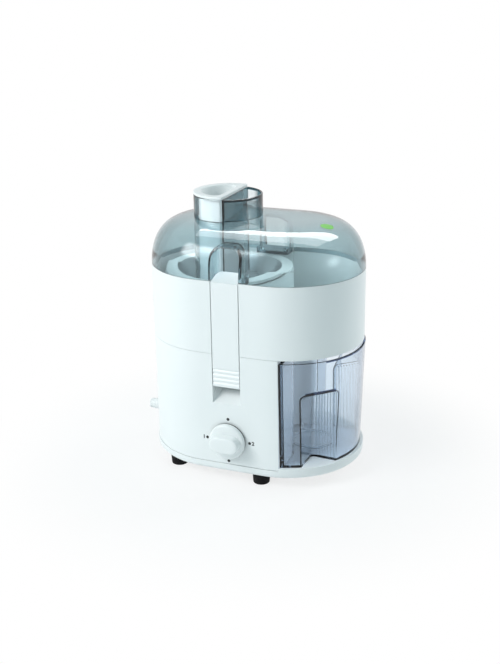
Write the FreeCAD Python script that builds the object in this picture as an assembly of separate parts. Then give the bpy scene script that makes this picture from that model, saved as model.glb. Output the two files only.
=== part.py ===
"""Centrifugal juicer, built as separate pieces.

Millimetres, +Z up. The origin is on the table, under the middle of the body's outline.
+X points to the juice cup, -Y to the front with the selector knob.
"""
import FreeCAD, Part
import math
import os

V = FreeCAD.Vector

# Body outline: a straight middle with two round ends
BODY_RADIUS = 85.0
BODY_HALF_STRAIGHT = 36.0
WALL = 2.5

# Heights of the main pieces, stacked from the table
FOOT_HEIGHT = 13.0
TRAY_HEIGHT = 9.4
MOTOR_HOUSING_HEIGHT = 128.4
COLLECTOR_HEIGHT = 81.2
COLLAR_HEIGHT = 23.6

# Clearances
FIT = 0.05
SLIDE_GAP = 0.6
RUN_GAP = 0.4

# Base tray and feet
TRAY_PROUD = 0.85
TRAY_EDGE_RADIUS = 5.0
SHELF_RISE = 3.0
FOOT_RADIUS_TOP = 10.0
FOOT_RADIUS_BOTTOM = 9.2
FOOT_STEM_RADIUS = 3.0
FOOT_BARB_RADIUS = 4.2
FOOT_BARB_HEIGHT = 2.5
FOOT_EDGE_INSET = 14.0
FOOT_LEFT_ANGLE = 125.4
FOOT_FROM_STRAIGHT_END = 7.0
VENT_COUNT = 9
VENT_PITCH = 7.0
VENT_WIDTH = 3.0
VENT_LENGTH = 44.0
BOSS_RADIUS = 6.0
BOSS_HEIGHT = 16.5
BOSS_ROOT = 0.5
BOSS_LEFT_ANGLE = 155.0
BOSS_RIGHT_X = 10.0
SCREW_RADIUS = 1.75
SCREW_LENGTH = 12.0
SCREW_HEAD_RADIUS = 3.3
SCREW_HEAD_HEIGHT = 2.0
SCREW_WELL_RADIUS = 3.6
SCREW_WELL_DEPTH = 2.5
SCREW_PAD_RADIUS = 6.0

# Motor housing
DECK_THICKNESS = 3.0

# Latches
LATCH_CENTRE_X = -5.25
LATCH_WIDTH = 31.0
LATCH_THICKNESS = 6.5
LATCH_LENGTH = 118.0
LATCH_DROP = 1.0
LATCH_SIDE_GAP = 0.75
LATCH_BACK_GAP = 0.8
HOOK_REACH = 14.0
HOOK_RISE = 6.6
HOOK_GAP = 0.3
POCKET_DEPTH = 28.0
POCKET_FLOOR_DROP = 17.0
POCKET_FLOOR_RISE = 11.0
PIVOT_BELOW_DECK = 12.8
PIVOT_INSET = 8.0
PIN_RADIUS = 1.5
BARREL_RADIUS = 4.5

# Motor and spindle
AXIS_X = -34.0
SHAFT_RADIUS = 4.0
SHAFT_TOP_ABOVE_DECK = 29.0
SEAL_RADIUS = 10.0
MOUNT_CIRCLE = 42.0
MOUNT_RADIUS = 5.0
MOUNT_BUSH_HEIGHT = 5.0
MOUNT_BOSS_HEIGHT = 8.0
MOUNT_SCREW_RADIUS = 1.9
MOUNT_SCREW_BITE = 6.0
MOUNT_HEAD_RADIUS = 3.6
MOUNT_HEAD_HEIGHT = 2.5
BRACKET_RADIUS = 48.0
BRACKET_THICKNESS = 3.0
BEARING_RADIUS = 11.0
BEARING_BORE = 4.0
BEARING_WIDTH = 7.0
BEARING_SEAT_WALL = 3.0
BEARING_LIP = 2.8
STATOR_RADIUS = 40.0
STATOR_YOKE = 7.0
STATOR_HEIGHT = 32.0
POLE_NECK_WIDTH = 20.0
POLE_SHOE_THICKNESS = 4.0
POLE_SHOE_ANGLE = 100.0
COIL_ANGLE = 68.0
COIL_OVERHANG = 6.0
COIL_GAP = 0.2
AIR_GAP = 0.6
ARMATURE_RADIUS = 24.0
WINDING_RADIUS = 20.0
WINDING_TOP_LENGTH = 8.0
WINDING_BOTTOM_LENGTH = 10.0
COMMUTATOR_RADIUS = 11.0
COMMUTATOR_LENGTH = 11.0
COMMUTATOR_TO_BEARING = 2.0
LOWER_BEARING_GAP = 5.0
LOWER_BAR_WIDTH = 20.0
TIE_RADIUS = 2.0
TIE_SLEEVE_RADIUS = 4.4
TIE_HEAD_RADIUS = 3.8
TIE_HEAD_HEIGHT = 3.0
BRUSH_WIDTH = 6.0
BRUSH_HEIGHT = 7.0
BRUSH_LENGTH = 16.0
BRUSH_HOLDER_WALL = 2.0
BRUSH_HOLDER_START = 15.5
BRUSH_HOLDER_LENGTH = 18.0
FAN_RADIUS = 34.0
FAN_HEIGHT = 11.0
FAN_PLATE = 2.0
FAN_HUB_RADIUS = 8.0
FAN_BLADES = 12
FAN_BLADE_WIDTH = 1.6
FAN_TO_BEARING = 3.0
SHAFT_TAIL = 1.5

# Selector switch and knob
KNOB_X = -4.0
KNOB_Z = 51.4
KNOB_RADIUS = 20.5
KNOB_SKIRT = 7.0
KNOB_BAR_LENGTH = 35.0
KNOB_BAR_WIDTH = 19.0
KNOB_BAR_HEIGHT = 10.0
KNOB_HOLLOW_RADIUS = 10.0
KNOB_HOLLOW_DEPTH = 3.6
SWITCH_WIDTH = 36.0
SWITCH_HEIGHT = 30.0
SWITCH_DEPTH = 22.0
SWITCH_NECK_RADIUS = 5.0
SWITCH_NUT_RADIUS = 8.5
SWITCH_NUT_HEIGHT = 2.4
SPINDLE_RADIUS = 3.0
SPINDLE_IN_SWITCH = 9.0
SPINDLE_IN_KNOB = 12.0

# Cord gland
GLAND_Z = 42.0
GLAND_RADIUS = 7.0
GLAND_TIP_RADIUS = 5.8
GLAND_REACH = 19.5
GLAND_BORE = 3.6
GLAND_FLANGE_RADIUS = 9.5
GLAND_FLANGE = 3.0

# Juice collector
COLLECTOR_FLOOR = 2.5
BOWL_RADIUS = 72.0
BOWL_WALL = 2.0
BOWL_BELOW_RIM = 10.5
SLEEVE_RADIUS = 18.0
SLEEVE_WALL = 2.0
SLEEVE_HEIGHT = 27.0
SPOUT_X = 29.0
SPOUT_RADIUS = 7.0
SPOUT_WALL = 2.0
SPOUT_DROP = 2.2

# Drive coupling and basket
COUPLING_RADIUS = 7.5
COUPLING_LUG = 2.6
COUPLING_LUG_WIDTH = 4.0
COUPLING_LUGS = 3
COUPLING_HEIGHT = 28.0
COUPLING_ABOVE_DECK = 7.0
SOCKET_GAP = 0.1
SOCKET_RADIUS = 13.5
SOCKET_DEPTH = 26.0
BASKET_SKIRT_RADIUS = 23.0
BASKET_SKIRT_WALL = 2.0
BASKET_SKIRT_DEPTH = 24.0
BASKET_FLOOR_BELOW_RIM = 34.0
BASKET_FLOOR = 3.0
BASKET_FLOOR_RADIUS = 42.5
BASKET_RIM_INSET = 1.0
BASKET_RIM_WIDTH = 13.0
BASKET_RIM_HEIGHT = 2.6
BASKET_RIM_BELOW_RIM = 6.6
BASKET_RIBS = 8
BASKET_RIB_WIDTH = 2.4
BASKET_RIB_DEPTH = 2.6
SCREEN_THICKNESS = 0.8
GRATER_RADIUS = 41.0
GRATER_THICKNESS = 1.2
GRATER_ROWS = 6
GRATER_TEETH_PER_ROW = 4
GRATER_FIRST_TOOTH = 14.0
GRATER_TOOTH_PITCH = 6.5
GRATER_TOOTH_RADIUS = 1.6
GRATER_TOOTH_HEIGHT = 1.6

# Lid with the feed chute
DOME_RISE = 52.0
DOME_POWER = 5.0
DOME_STEPS = 9
LID_WALL = 2.5
LIP_DEPTH = 5.0
LIP_WIDTH = 2.0
LIP_GAP = 0.3
LIP_ROOT = 3.0
LEDGE_DROP = 2.3
LEDGE_THICKNESS = 2.9
NOTCH_CORNER = 10.0
NOTCH_BACK_GAP = 2.0
CHUTE_RADIUS = 38.2
CHUTE_WALL = 2.4
CHUTE_CHORD = 9.8
FEED_ABOVE_GRATER = 4.0

# Pusher
PUSHER_GAP = 3.0
PUSHER_FLANGE = 3.0
PUSHER_FLANGE_STEP = 1.4
PUSHER_WALL = 4.0
PUSHER_ABOVE_GRATER = 9.0
PUSHER_BOWL_DEPTH = 60.0

# Juice cup
CUP_LEFT_X = 54.0
CUP_NOSE_X = 60.0
CUP_NOSE_RADIUS = 41.0
CUP_WALL = 2.2
CUP_FLOOR = 2.6
CUP_TOP_PROUD = 1.3
CUP_DRAFT = 4.0
CUP_NOSE_DRAFT = 1.2
CUP_TOP_GAP = 3.3
CUP_GAP = 0.8
NICHE_X = 77.5
NICHE_Y = 41.0
NICHE_SIDE_FLARE = 3.0
NICHE_FACE_DRAFT = 5.5
NICHE_HEIGHT = 75.7
NICHE_CEILING_SLOPE = 20.0
NICHE_ROUNDING = 4.0

# Levels that follow from the sizes above
TRAY_BOTTOM = FOOT_HEIGHT
TRAY_FLOOR = TRAY_BOTTOM + WALL
TRAY_TOP = TRAY_BOTTOM + TRAY_HEIGHT
SCREW_SEAT = TRAY_BOTTOM + SCREW_WELL_DEPTH
PAD_TOP = TRAY_FLOOR + SCREW_WELL_DEPTH
DECK_TOP = TRAY_TOP + MOTOR_HOUSING_HEIGHT
DECK_BOTTOM = DECK_TOP - DECK_THICKNESS
RIM = DECK_TOP + COLLECTOR_HEIGHT
CHUTE_RIM = RIM + DOME_RISE + COLLAR_HEIGHT
INNER_RADIUS = BODY_RADIUS - WALL
BASKET_RIM_RADIUS = BOWL_RADIUS - BASKET_RIM_INSET
SHELF_TOP = TRAY_TOP + SHELF_RISE
GRATER_TOP = RIM - BASKET_FLOOR_BELOW_RIM + BASKET_FLOOR + GRATER_THICKNESS
FEED_BOTTOM = GRATER_TOP + FEED_ABOVE_GRATER

# Levels and radii of the motor, worked down from the deck
BUSH_TOP = DECK_BOTTOM - MOUNT_BOSS_HEIGHT
BRACKET_TOP = BUSH_TOP - MOUNT_BUSH_HEIGHT
BRACKET_BOTTOM = BRACKET_TOP - BRACKET_THICKNESS
UPPER_BEARING_TOP = BRACKET_TOP - BEARING_LIP
UPPER_BEARING_BOTTOM = UPPER_BEARING_TOP - BEARING_WIDTH
COMMUTATOR_TOP = UPPER_BEARING_BOTTOM - COMMUTATOR_TO_BEARING
COMMUTATOR_BOTTOM = COMMUTATOR_TOP - COMMUTATOR_LENGTH
STATOR_TOP = COMMUTATOR_BOTTOM - WINDING_TOP_LENGTH
STATOR_BOTTOM = STATOR_TOP - STATOR_HEIGHT
LOWER_BEARING_TOP = STATOR_BOTTOM - WINDING_BOTTOM_LENGTH - LOWER_BEARING_GAP
LOWER_BEARING_BOTTOM = LOWER_BEARING_TOP - BEARING_WIDTH
LOWER_BRACKET_BOTTOM = LOWER_BEARING_TOP - BRACKET_THICKNESS + BEARING_LIP
LOWER_BRACKET_TOP = LOWER_BRACKET_BOTTOM + BRACKET_THICKNESS
FAN_TOP = LOWER_BEARING_BOTTOM - FAN_TO_BEARING
FAN_BOTTOM = FAN_TOP - FAN_HEIGHT
SHOE_RADIUS = ARMATURE_RADIUS + AIR_GAP
YOKE_RADIUS = STATOR_RADIUS - STATOR_YOKE
TIE_CIRCLE = STATOR_RADIUS - STATOR_YOKE / 2
SEAT_RADIUS = BEARING_RADIUS + BEARING_SEAT_WALL

# Latch planes, front side
LATCH_X0 = LATCH_CENTRE_X - LATCH_WIDTH / 2
LATCH_X1 = LATCH_CENTRE_X + LATCH_WIDTH / 2
SLOT_X0 = LATCH_X0 - LATCH_SIDE_GAP
SLOT_X1 = LATCH_X1 + LATCH_SIDE_GAP
LATCH_FRONT = -BODY_RADIUS
LATCH_BACK = LATCH_FRONT + LATCH_THICKNESS
GROOVE_BACK = LATCH_BACK + LATCH_BACK_GAP
LATCH_TOP = RIM - LATCH_DROP
LATCH_BOTTOM = LATCH_TOP - LATCH_LENGTH
LEDGE_TOP = RIM - LEDGE_DROP
LEDGE_LOW = LEDGE_TOP - LEDGE_THICKNESS
HOOK_UNDER = LEDGE_TOP + HOOK_GAP
HOOK_END = LATCH_BACK + HOOK_REACH
NOTCH_BACK = HOOK_END + NOTCH_BACK_GAP
POCKET_BACK = LATCH_FRONT + POCKET_DEPTH
POCKET_FLOOR = LATCH_BOTTOM - POCKET_FLOOR_DROP
PIVOT_Y = LATCH_FRONT + PIVOT_INSET
PIVOT_Z = DECK_TOP - PIVOT_BELOW_DECK

OVER = 2.0


def box(x0, x1, y0, y1, z0, z1):
    """Block between two corners."""
    return Part.makeBox(x1 - x0, y1 - y0, z1 - z0, V(x0, y0, z0))


def post(radius, z0, z1, x=0.0, y=0.0):
    """Upright round bar."""
    return Part.makeCylinder(radius, z1 - z0, V(x, y, z0))


def tube(outer, inner, z0, z1, x=0.0, y=0.0):
    """Upright round bar with a bore."""
    return post(outer, z0, z1, x, y).cut(post(inner, z0, z1, x, y))


def rod_x(radius, x0, x1, y, z):
    """Round bar along X."""
    return Part.makeCylinder(radius, x1 - x0, V(x0, y, z), V(1, 0, 0))


def rod_y(radius, y0, y1, x, z):
    """Round bar along Y."""
    return Part.makeCylinder(radius, y1 - y0, V(x, y0, z), V(0, 1, 0))


def sector(outer, inner, z0, z1, start, sweep, x):
    """Part of an upright ring on the spindle side, from a start angle through a sweep in degrees."""
    wedge = Part.makeCylinder(outer, z1 - z0, V(x, 0, z0), V(0, 0, 1), sweep)
    wedge.rotate(V(x, 0, 0), V(0, 0, 1), start)
    return wedge.cut(post(inner, z0, z1, x))


def closed_face(points):
    """Flat face inside a closed run of straight edges."""
    return Part.Face(Part.makePolygon(points + points[:1]))


def turned(outline, x=0.0):
    """Outline of (radius, height) points turned about an upright axis."""
    face = closed_face([V(x + radius, 0, z) for radius, z in outline])
    return face.revolve(V(x, 0, 0), V(0, 0, 1), 360)


def turned_x(outline, z):
    """Outline of (x, radius) points turned about a level axis along X."""
    face = closed_face([V(x, 0, z + radius) for x, radius in outline])
    return face.revolve(V(0, 0, z), V(1, 0, 0), 360)


def line(a, b):
    """Straight edge."""
    return Part.LineSegment(a, b).toShape()


def arc(a, b, c):
    """Round edge through three points."""
    return Part.Arc(a, b, c).toShape()


def raised(edges, height):
    """Solid above a closed run of edges."""
    return Part.Face(Part.Wire(edges)).extrude(V(0, 0, height))


def stadium(radius, z0, z1):
    """Body outline at a given end radius, as an upright solid."""
    h = BODY_HALF_STRAIGHT
    front = arc(V(h, -radius, z0), V(h + radius, 0, z0), V(h, radius, z0))
    back = arc(V(-h, radius, z0), V(-h - radius, 0, z0), V(-h, -radius, z0))
    rear_edge = line(V(h, radius, z0), V(-h, radius, z0))
    front_edge = line(V(-h, -radius, z0), V(h, -radius, z0))
    return raised([front, rear_edge, back, front_edge], z1 - z0)


def mirrored(shape):
    """The same shape on the back."""
    return shape.mirror(V(0, 0, 0), V(0, 1, 0))


def both_sides(shape):
    """The shape and its mirror image on the back."""
    return [shape, mirrored(shape)]


def about_axis(shape, count, first=0.0):
    """Copies of a shape spaced evenly about the spindle axis."""
    copies = []
    for index in range(count):
        copy = shape.copy()
        copy.rotate(V(AXIS_X, 0, 0), V(0, 0, 1), first + 360.0 * index / count)
        copies.append(copy)
    return copies


def fused(first, others):
    """One solid from touching shapes."""
    return first.fuse(others).removeSplitter()


def save(name, shape):
    """Write one piece."""
    if not shape.isValid():
        raise ValueError(name + " is not a valid shape")
    shape.exportStep("parts/" + name + ".step")


def boss_places():
    """Where the base screws go: two beside the left end, two on the straight sides."""
    reach = INNER_RADIUS - BOSS_RADIUS + BOSS_ROOT
    turn = math.radians(BOSS_LEFT_ANGLE)
    left = (-BODY_HALF_STRAIGHT + reach * math.cos(turn), reach * math.sin(turn))
    right = (BOSS_RIGHT_X, reach)
    return [(x, side * y) for x, y in (left, right) for side in (-1, 1)]


def foot_places():
    """Foot names with their centres."""
    reach = BODY_RADIUS - FOOT_EDGE_INSET
    turn = math.radians(FOOT_LEFT_ANGLE)
    left_x = -BODY_HALF_STRAIGHT + reach * math.cos(turn)
    left_y = reach * math.sin(turn)
    right_x = BODY_HALF_STRAIGHT - FOOT_FROM_STRAIGHT_END
    return {
        "foot_front_left": (left_x, -left_y),
        "foot_rear_left": (left_x, left_y),
        "foot_front_right": (right_x, -reach),
        "foot_rear_right": (right_x, reach),
    }


def base_tray():
    """Shallow pan with the raised shelf for the cup, foot holes, screw wells and air slots under the fan."""
    outer = stadium(BODY_RADIUS + TRAY_PROUD, TRAY_BOTTOM, TRAY_TOP)
    bottom_edges = [e for e in outer.Edges if e.BoundBox.ZMax < TRAY_BOTTOM + FIT]
    outer = outer.makeFillet(TRAY_EDGE_RADIUS, bottom_edges)
    tray = outer.cut(stadium(BODY_RADIUS + TRAY_PROUD - WALL, TRAY_FLOOR, TRAY_TOP))
    shelf = stadium(BODY_RADIUS + TRAY_PROUD, TRAY_TOP - WALL, SHELF_TOP).common(alcove(-FIT, TRAY_FLOOR))
    pads = [post(SCREW_PAD_RADIUS, TRAY_FLOOR, PAD_TOP, x, y) for x, y in boss_places()]
    tray = fused(tray, [shelf] + pads)
    holes = [post(FOOT_STEM_RADIUS + FIT, TRAY_BOTTOM, TRAY_FLOOR, x, y) for x, y in foot_places().values()]
    holes += [post(SCREW_WELL_RADIUS, TRAY_BOTTOM, SCREW_SEAT, x, y) for x, y in boss_places()]
    holes += [post(SCREW_RADIUS + FIT, SCREW_SEAT, PAD_TOP, x, y) for x, y in boss_places()]
    for index in range(VENT_COUNT):
        x = AXIS_X + (index - (VENT_COUNT - 1) / 2) * VENT_PITCH
        half = VENT_LENGTH / 2
        holes.append(box(x - VENT_WIDTH / 2, x + VENT_WIDTH / 2, -half, half, TRAY_BOTTOM, TRAY_FLOOR))
    return tray.cut(holes)


def foot(x, y):
    """Rubber foot pushed through the tray, held by a barb above the floor."""
    barb_top = TRAY_FLOOR + FOOT_BARB_HEIGHT
    outline = [
        (0, 0), (FOOT_RADIUS_BOTTOM, 0), (FOOT_RADIUS_TOP, TRAY_BOTTOM), (FOOT_STEM_RADIUS, TRAY_BOTTOM),
        (FOOT_STEM_RADIUS, TRAY_FLOOR), (FOOT_BARB_RADIUS, TRAY_FLOOR), (FOOT_STEM_RADIUS, barb_top),
        (0, barb_top),
    ]
    shape = turned(outline)
    shape.translate(V(x, y, 0))
    return shape


def base_screws():
    """Screws from the wells under the tray into the bosses of the motor housing."""
    head = SCREW_SEAT - SCREW_HEAD_HEIGHT
    tip = SCREW_SEAT + SCREW_LENGTH
    outline = [
        (0, head), (SCREW_HEAD_RADIUS, head), (SCREW_HEAD_RADIUS, SCREW_SEAT), (SCREW_RADIUS, SCREW_SEAT),
        (SCREW_RADIUS, tip), (0, tip),
    ]
    screws = []
    for x, y in boss_places():
        screw = turned(outline)
        screw.translate(V(x, y, 0))
        screws.append(screw)
    return Part.makeCompound(screws)


def alcove(grow, z0):
    """Space that the cup slides into, open at the right end, grown sideways by a wall or a gap."""
    top = DECK_TOP + OVER
    far = BODY_HALF_STRAIGHT + BODY_RADIUS + OVER
    wide = BODY_RADIUS + OVER
    wings = box(CUP_LEFT_X - CUP_GAP - grow, far, -wide, wide, z0, top)
    nose = post(CUP_NOSE_RADIUS + CUP_GAP + grow, z0, top, CUP_NOSE_X)
    return wings.fuse(nose)


def latch_pocket(grow):
    """Finger space behind the front latch, its floor rising inwards, grown by the pocket's wall."""
    front = -BODY_RADIUS - OVER
    back = POCKET_BACK + grow
    top = DECK_TOP + OVER
    slope = POCKET_FLOOR_RISE / POCKET_DEPTH
    floor_front = POCKET_FLOOR - grow - OVER * slope
    floor_back = POCKET_FLOOR - grow + (POCKET_DEPTH + grow) * slope
    x0 = SLOT_X0 - grow
    outline = [V(x0, front, floor_front), V(x0, back, floor_back), V(x0, back, top), V(x0, front, top)]
    return closed_face(outline).extrude(V(SLOT_X1 - SLOT_X0 + 2 * grow, 0, 0))


def mount_places():
    """Centres of the four motor mounts about the spindle axis."""
    turns = [math.radians(45 + 90 * index) for index in range(4)]
    return [(AXIS_X + MOUNT_CIRCLE * math.cos(t), MOUNT_CIRCLE * math.sin(t)) for t in turns]


def motor_housing():
    """Lower shell with the deck, the alcove for the cup, two latch pockets and the screw bosses."""
    shell = stadium(BODY_RADIUS, TRAY_TOP, DECK_TOP)
    walled = [alcove(WALL, TRAY_TOP)] + both_sides(latch_pocket(WALL))
    shell = shell.cut(stadium(INNER_RADIUS, TRAY_TOP, DECK_BOTTOM).cut(walled))
    shell = shell.cut([alcove(0, TRAY_TOP - OVER)] + both_sides(latch_pocket(0)))
    bosses = [post(BOSS_RADIUS, PAD_TOP, PAD_TOP + BOSS_HEIGHT, x, y) for x, y in boss_places()]
    bosses += [post(MOUNT_RADIUS, BUSH_TOP, DECK_BOTTOM, x, y) for x, y in mount_places()]
    shell = fused(shell, bosses)
    bite = SCREW_SEAT + SCREW_LENGTH + FIT
    holes = [post(SCREW_RADIUS + FIT, PAD_TOP, bite, x, y) for x, y in boss_places()]
    holes += [post(MOUNT_SCREW_RADIUS + FIT, BUSH_TOP, BUSH_TOP + MOUNT_SCREW_BITE + FIT, x, y)
              for x, y in mount_places()]
    holes.append(post(SEAL_RADIUS + FIT, DECK_BOTTOM, DECK_TOP, AXIS_X))
    holes += both_sides(rod_x(PIN_RADIUS + FIT, SLOT_X0 - WALL, SLOT_X1 + WALL, PIVOT_Y, PIVOT_Z))
    holes.append(rod_y(SWITCH_NECK_RADIUS + FIT, -BODY_RADIUS - OVER, -INNER_RADIUS + OVER, KNOB_X, KNOB_Z))
    left_end = -BODY_HALF_STRAIGHT - BODY_RADIUS
    holes.append(rod_x(GLAND_RADIUS + FIT, left_end - OVER, left_end + WALL + OVER, 0, GLAND_Z))
    return shell.cut(holes)


def collector():
    """Upper housing: outer wall, floor, round juice bowl with its spout, spindle sleeve and latch grooves."""
    top = RIM
    floor_top = DECK_TOP + COLLECTOR_FLOOR
    shell = stadium(BODY_RADIUS, DECK_TOP, top).cut(stadium(INNER_RADIUS, floor_top, top))
    groove_wall = box(SLOT_X0 - WALL, SLOT_X1 + WALL, -INNER_RADIUS - OVER / 2, GROOVE_BACK + WALL,
                      DECK_TOP, top)
    bowl = tube(BOWL_RADIUS, BOWL_RADIUS - BOWL_WALL, DECK_TOP, top - BOWL_BELOW_RIM, AXIS_X)
    sleeve = post(SLEEVE_RADIUS, DECK_TOP, DECK_TOP + SLEEVE_HEIGHT, AXIS_X)
    spout = post(SPOUT_RADIUS, DECK_TOP - SPOUT_DROP, floor_top, SPOUT_X)
    shell = fused(shell, both_sides(groove_wall) + [bowl, sleeve, spout])
    groove = box(SLOT_X0, SLOT_X1, -BODY_RADIUS - OVER, GROOVE_BACK, DECK_TOP - OVER, top + OVER)
    bore = post(SLEEVE_RADIUS - SLEEVE_WALL, DECK_TOP - OVER, DECK_TOP + SLEEVE_HEIGHT, AXIS_X)
    drain = post(SPOUT_RADIUS - SPOUT_WALL, DECK_TOP - SPOUT_DROP, floor_top, SPOUT_X)
    ledge_room = box(SLOT_X0 - LID_WALL - LIP_GAP, SLOT_X1 + LID_WALL + LIP_GAP, GROOVE_BACK, NOTCH_BACK,
                     LEDGE_LOW - LIP_GAP, top + OVER)
    return shell.cut(both_sides(groove) + both_sides(ledge_room) + [bore, drain])


def shaft_seal():
    """Rubber ring in the deck around the spindle."""
    return tube(SEAL_RADIUS, SHAFT_RADIUS + FIT, DECK_BOTTOM, DECK_TOP, AXIS_X)


def bearing(z0):
    """Ball bearing as one closed ring."""
    return tube(BEARING_RADIUS, BEARING_BORE + FIT / 2, z0, z0 + BEARING_WIDTH, AXIS_X)


def tie_places():
    """Centres of the two screws that clamp the stator between its brackets."""
    return [AXIS_X - TIE_CIRCLE, AXIS_X + TIE_CIRCLE]


def upper_bracket():
    """Round plate under the motor mounts with the upper bearing seat and two sleeves down to the stator."""
    plate = post(BRACKET_RADIUS, BRACKET_BOTTOM, BRACKET_TOP, AXIS_X)
    seat = post(SEAT_RADIUS, UPPER_BEARING_BOTTOM, BRACKET_TOP, AXIS_X)
    sleeves = [post(TIE_SLEEVE_RADIUS, STATOR_TOP, BRACKET_BOTTOM, x) for x in tie_places()]
    bracket = fused(plate, [seat] + sleeves)
    holes = [post(BEARING_RADIUS + FIT / 2, UPPER_BEARING_BOTTOM, UPPER_BEARING_TOP, AXIS_X)]
    holes.append(post(SHAFT_RADIUS + RUN_GAP, UPPER_BEARING_TOP, BRACKET_TOP, AXIS_X))
    holes += [post(TIE_RADIUS + FIT, STATOR_TOP, BRACKET_TOP, x) for x in tie_places()]
    holes += [post(MOUNT_SCREW_RADIUS + FIT, BRACKET_BOTTOM, BRACKET_TOP, x, y) for x, y in mount_places()]
    return bracket.cut(holes)


def lower_bracket():
    """Cross bar under the stator with the lower bearing seat and two sleeves up to the stator."""
    half = LOWER_BAR_WIDTH / 2
    bar = box(AXIS_X - TIE_CIRCLE, AXIS_X + TIE_CIRCLE, -half, half, LOWER_BRACKET_BOTTOM, LOWER_BRACKET_TOP)
    ends = [post(half, LOWER_BRACKET_BOTTOM, LOWER_BRACKET_TOP, x) for x in tie_places()]
    sleeves = [post(TIE_SLEEVE_RADIUS, LOWER_BRACKET_TOP, STATOR_BOTTOM, x) for x in tie_places()]
    seat = post(SEAT_RADIUS, LOWER_BEARING_BOTTOM, LOWER_BRACKET_TOP, AXIS_X)
    bracket = fused(bar, ends + sleeves + [seat])
    holes = [post(BEARING_RADIUS + FIT / 2, LOWER_BEARING_BOTTOM, LOWER_BEARING_TOP, AXIS_X)]
    holes.append(post(SHAFT_RADIUS + RUN_GAP, LOWER_BEARING_TOP, LOWER_BRACKET_TOP, AXIS_X))
    holes += [post(TIE_RADIUS + FIT, LOWER_BRACKET_BOTTOM, STATOR_BOTTOM, x) for x in tie_places()]
    return bracket.cut(holes)


def tie_screws():
    """Two long screws through the lower bracket, the stator and the upper bracket."""
    screws = []
    for x in tie_places():
        shank = post(TIE_RADIUS, LOWER_BRACKET_BOTTOM, BRACKET_TOP, x)
        head = post(TIE_HEAD_RADIUS, LOWER_BRACKET_BOTTOM - TIE_HEAD_HEIGHT, LOWER_BRACKET_BOTTOM, x)
        screws.append(fused(shank, [head]))
    return Part.makeCompound(screws)


def stator_core():
    """Laminated ring with two poles that face the armature from front and back."""
    ring = tube(STATOR_RADIUS, YOKE_RADIUS, STATOR_BOTTOM, STATOR_TOP, AXIS_X)
    shoe_outer = SHOE_RADIUS + POLE_SHOE_THICKNESS
    half = POLE_NECK_WIDTH / 2
    neck = box(AXIS_X - half, AXIS_X + half, -YOKE_RADIUS - STATOR_YOKE / 2, -SHOE_RADIUS,
               STATOR_BOTTOM, STATOR_TOP)
    shoe = sector(shoe_outer, SHOE_RADIUS, STATOR_BOTTOM, STATOR_TOP,
                  270 - POLE_SHOE_ANGLE / 2, POLE_SHOE_ANGLE, AXIS_X)
    core = fused(ring, both_sides(neck) + both_sides(shoe))
    holes = [post(SHOE_RADIUS, STATOR_BOTTOM, STATOR_TOP, AXIS_X)]
    holes += [post(TIE_RADIUS + FIT, STATOR_BOTTOM, STATOR_TOP, x) for x in tie_places()]
    return core.cut(holes)


def field_coils():
    """Two wire coils, each wound round the neck of one pole."""
    inner = SHOE_RADIUS + POLE_SHOE_THICKNESS + COIL_GAP
    outer = YOKE_RADIUS - COIL_GAP
    coil = sector(outer, inner, STATOR_BOTTOM - COIL_OVERHANG, STATOR_TOP + COIL_OVERHANG,
                  270 - COIL_ANGLE / 2, COIL_ANGLE, AXIS_X)
    half = POLE_NECK_WIDTH / 2 + COIL_GAP
    window = box(AXIS_X - half, AXIS_X + half, -YOKE_RADIUS, 0, STATOR_BOTTOM - COIL_GAP, STATOR_TOP + COIL_GAP)
    return Part.makeCompound(both_sides(coil.cut(window)))


def brush_levels():
    """Lowest and highest level of the carbon brushes, centred on the commutator."""
    middle = (COMMUTATOR_TOP + COMMUTATOR_BOTTOM) / 2
    return middle - BRUSH_HEIGHT / 2, middle + BRUSH_HEIGHT / 2


def brush_holders():
    """Two guides that hang from the upper bracket and hold the brushes."""
    low, high = brush_levels()
    start = -BRUSH_HOLDER_START - BRUSH_HOLDER_LENGTH
    half = BRUSH_WIDTH / 2 + BRUSH_HOLDER_WALL
    block = box(AXIS_X - half, AXIS_X + half, start, -BRUSH_HOLDER_START, low - BRUSH_HOLDER_WALL, BRACKET_BOTTOM)
    half = BRUSH_WIDTH / 2 + FIT
    slot = box(AXIS_X - half, AXIS_X + half, start + BRUSH_HOLDER_WALL, 0, low - FIT, high + FIT)
    return Part.makeCompound(both_sides(block.cut(slot)))


def brushes():
    """Two carbon blocks, hollowed to the commutator."""
    low, high = brush_levels()
    half = BRUSH_WIDTH / 2
    block = box(AXIS_X - half, AXIS_X + half, -COMMUTATOR_RADIUS - BRUSH_LENGTH, -COMMUTATOR_RADIUS / 2, low, high)
    block = block.cut(post(COMMUTATOR_RADIUS + FIT, low, high, AXIS_X))
    return Part.makeCompound(both_sides(block))


def motor_mounts():
    """Four rubber bushes between the deck and the upper bracket."""
    bushes = [tube(MOUNT_RADIUS, MOUNT_SCREW_RADIUS + FIT, BRACKET_TOP, BUSH_TOP, x, y) for x, y in mount_places()]
    return Part.makeCompound(bushes)


def motor_screws():
    """Four screws through the upper bracket and the bushes into the deck."""
    screws = []
    for x, y in mount_places():
        shank = post(MOUNT_SCREW_RADIUS, BRACKET_BOTTOM, BUSH_TOP + MOUNT_SCREW_BITE, x, y)
        head = post(MOUNT_HEAD_RADIUS, BRACKET_BOTTOM - MOUNT_HEAD_HEIGHT, BRACKET_BOTTOM, x, y)
        screws.append(fused(shank, [head]))
    return Part.makeCompound(screws)


def motor_shaft():
    """Steel spindle from below the fan up into the drive coupling."""
    return post(SHAFT_RADIUS, FAN_BOTTOM - SHAFT_TAIL, DECK_TOP + SHAFT_TOP_ABOVE_DECK, AXIS_X)


def on_shaft(radius, z0, z1):
    """Round piece pressed on the spindle."""
    return tube(radius, SHAFT_RADIUS + FIT / 2, z0, z1, AXIS_X)


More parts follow.
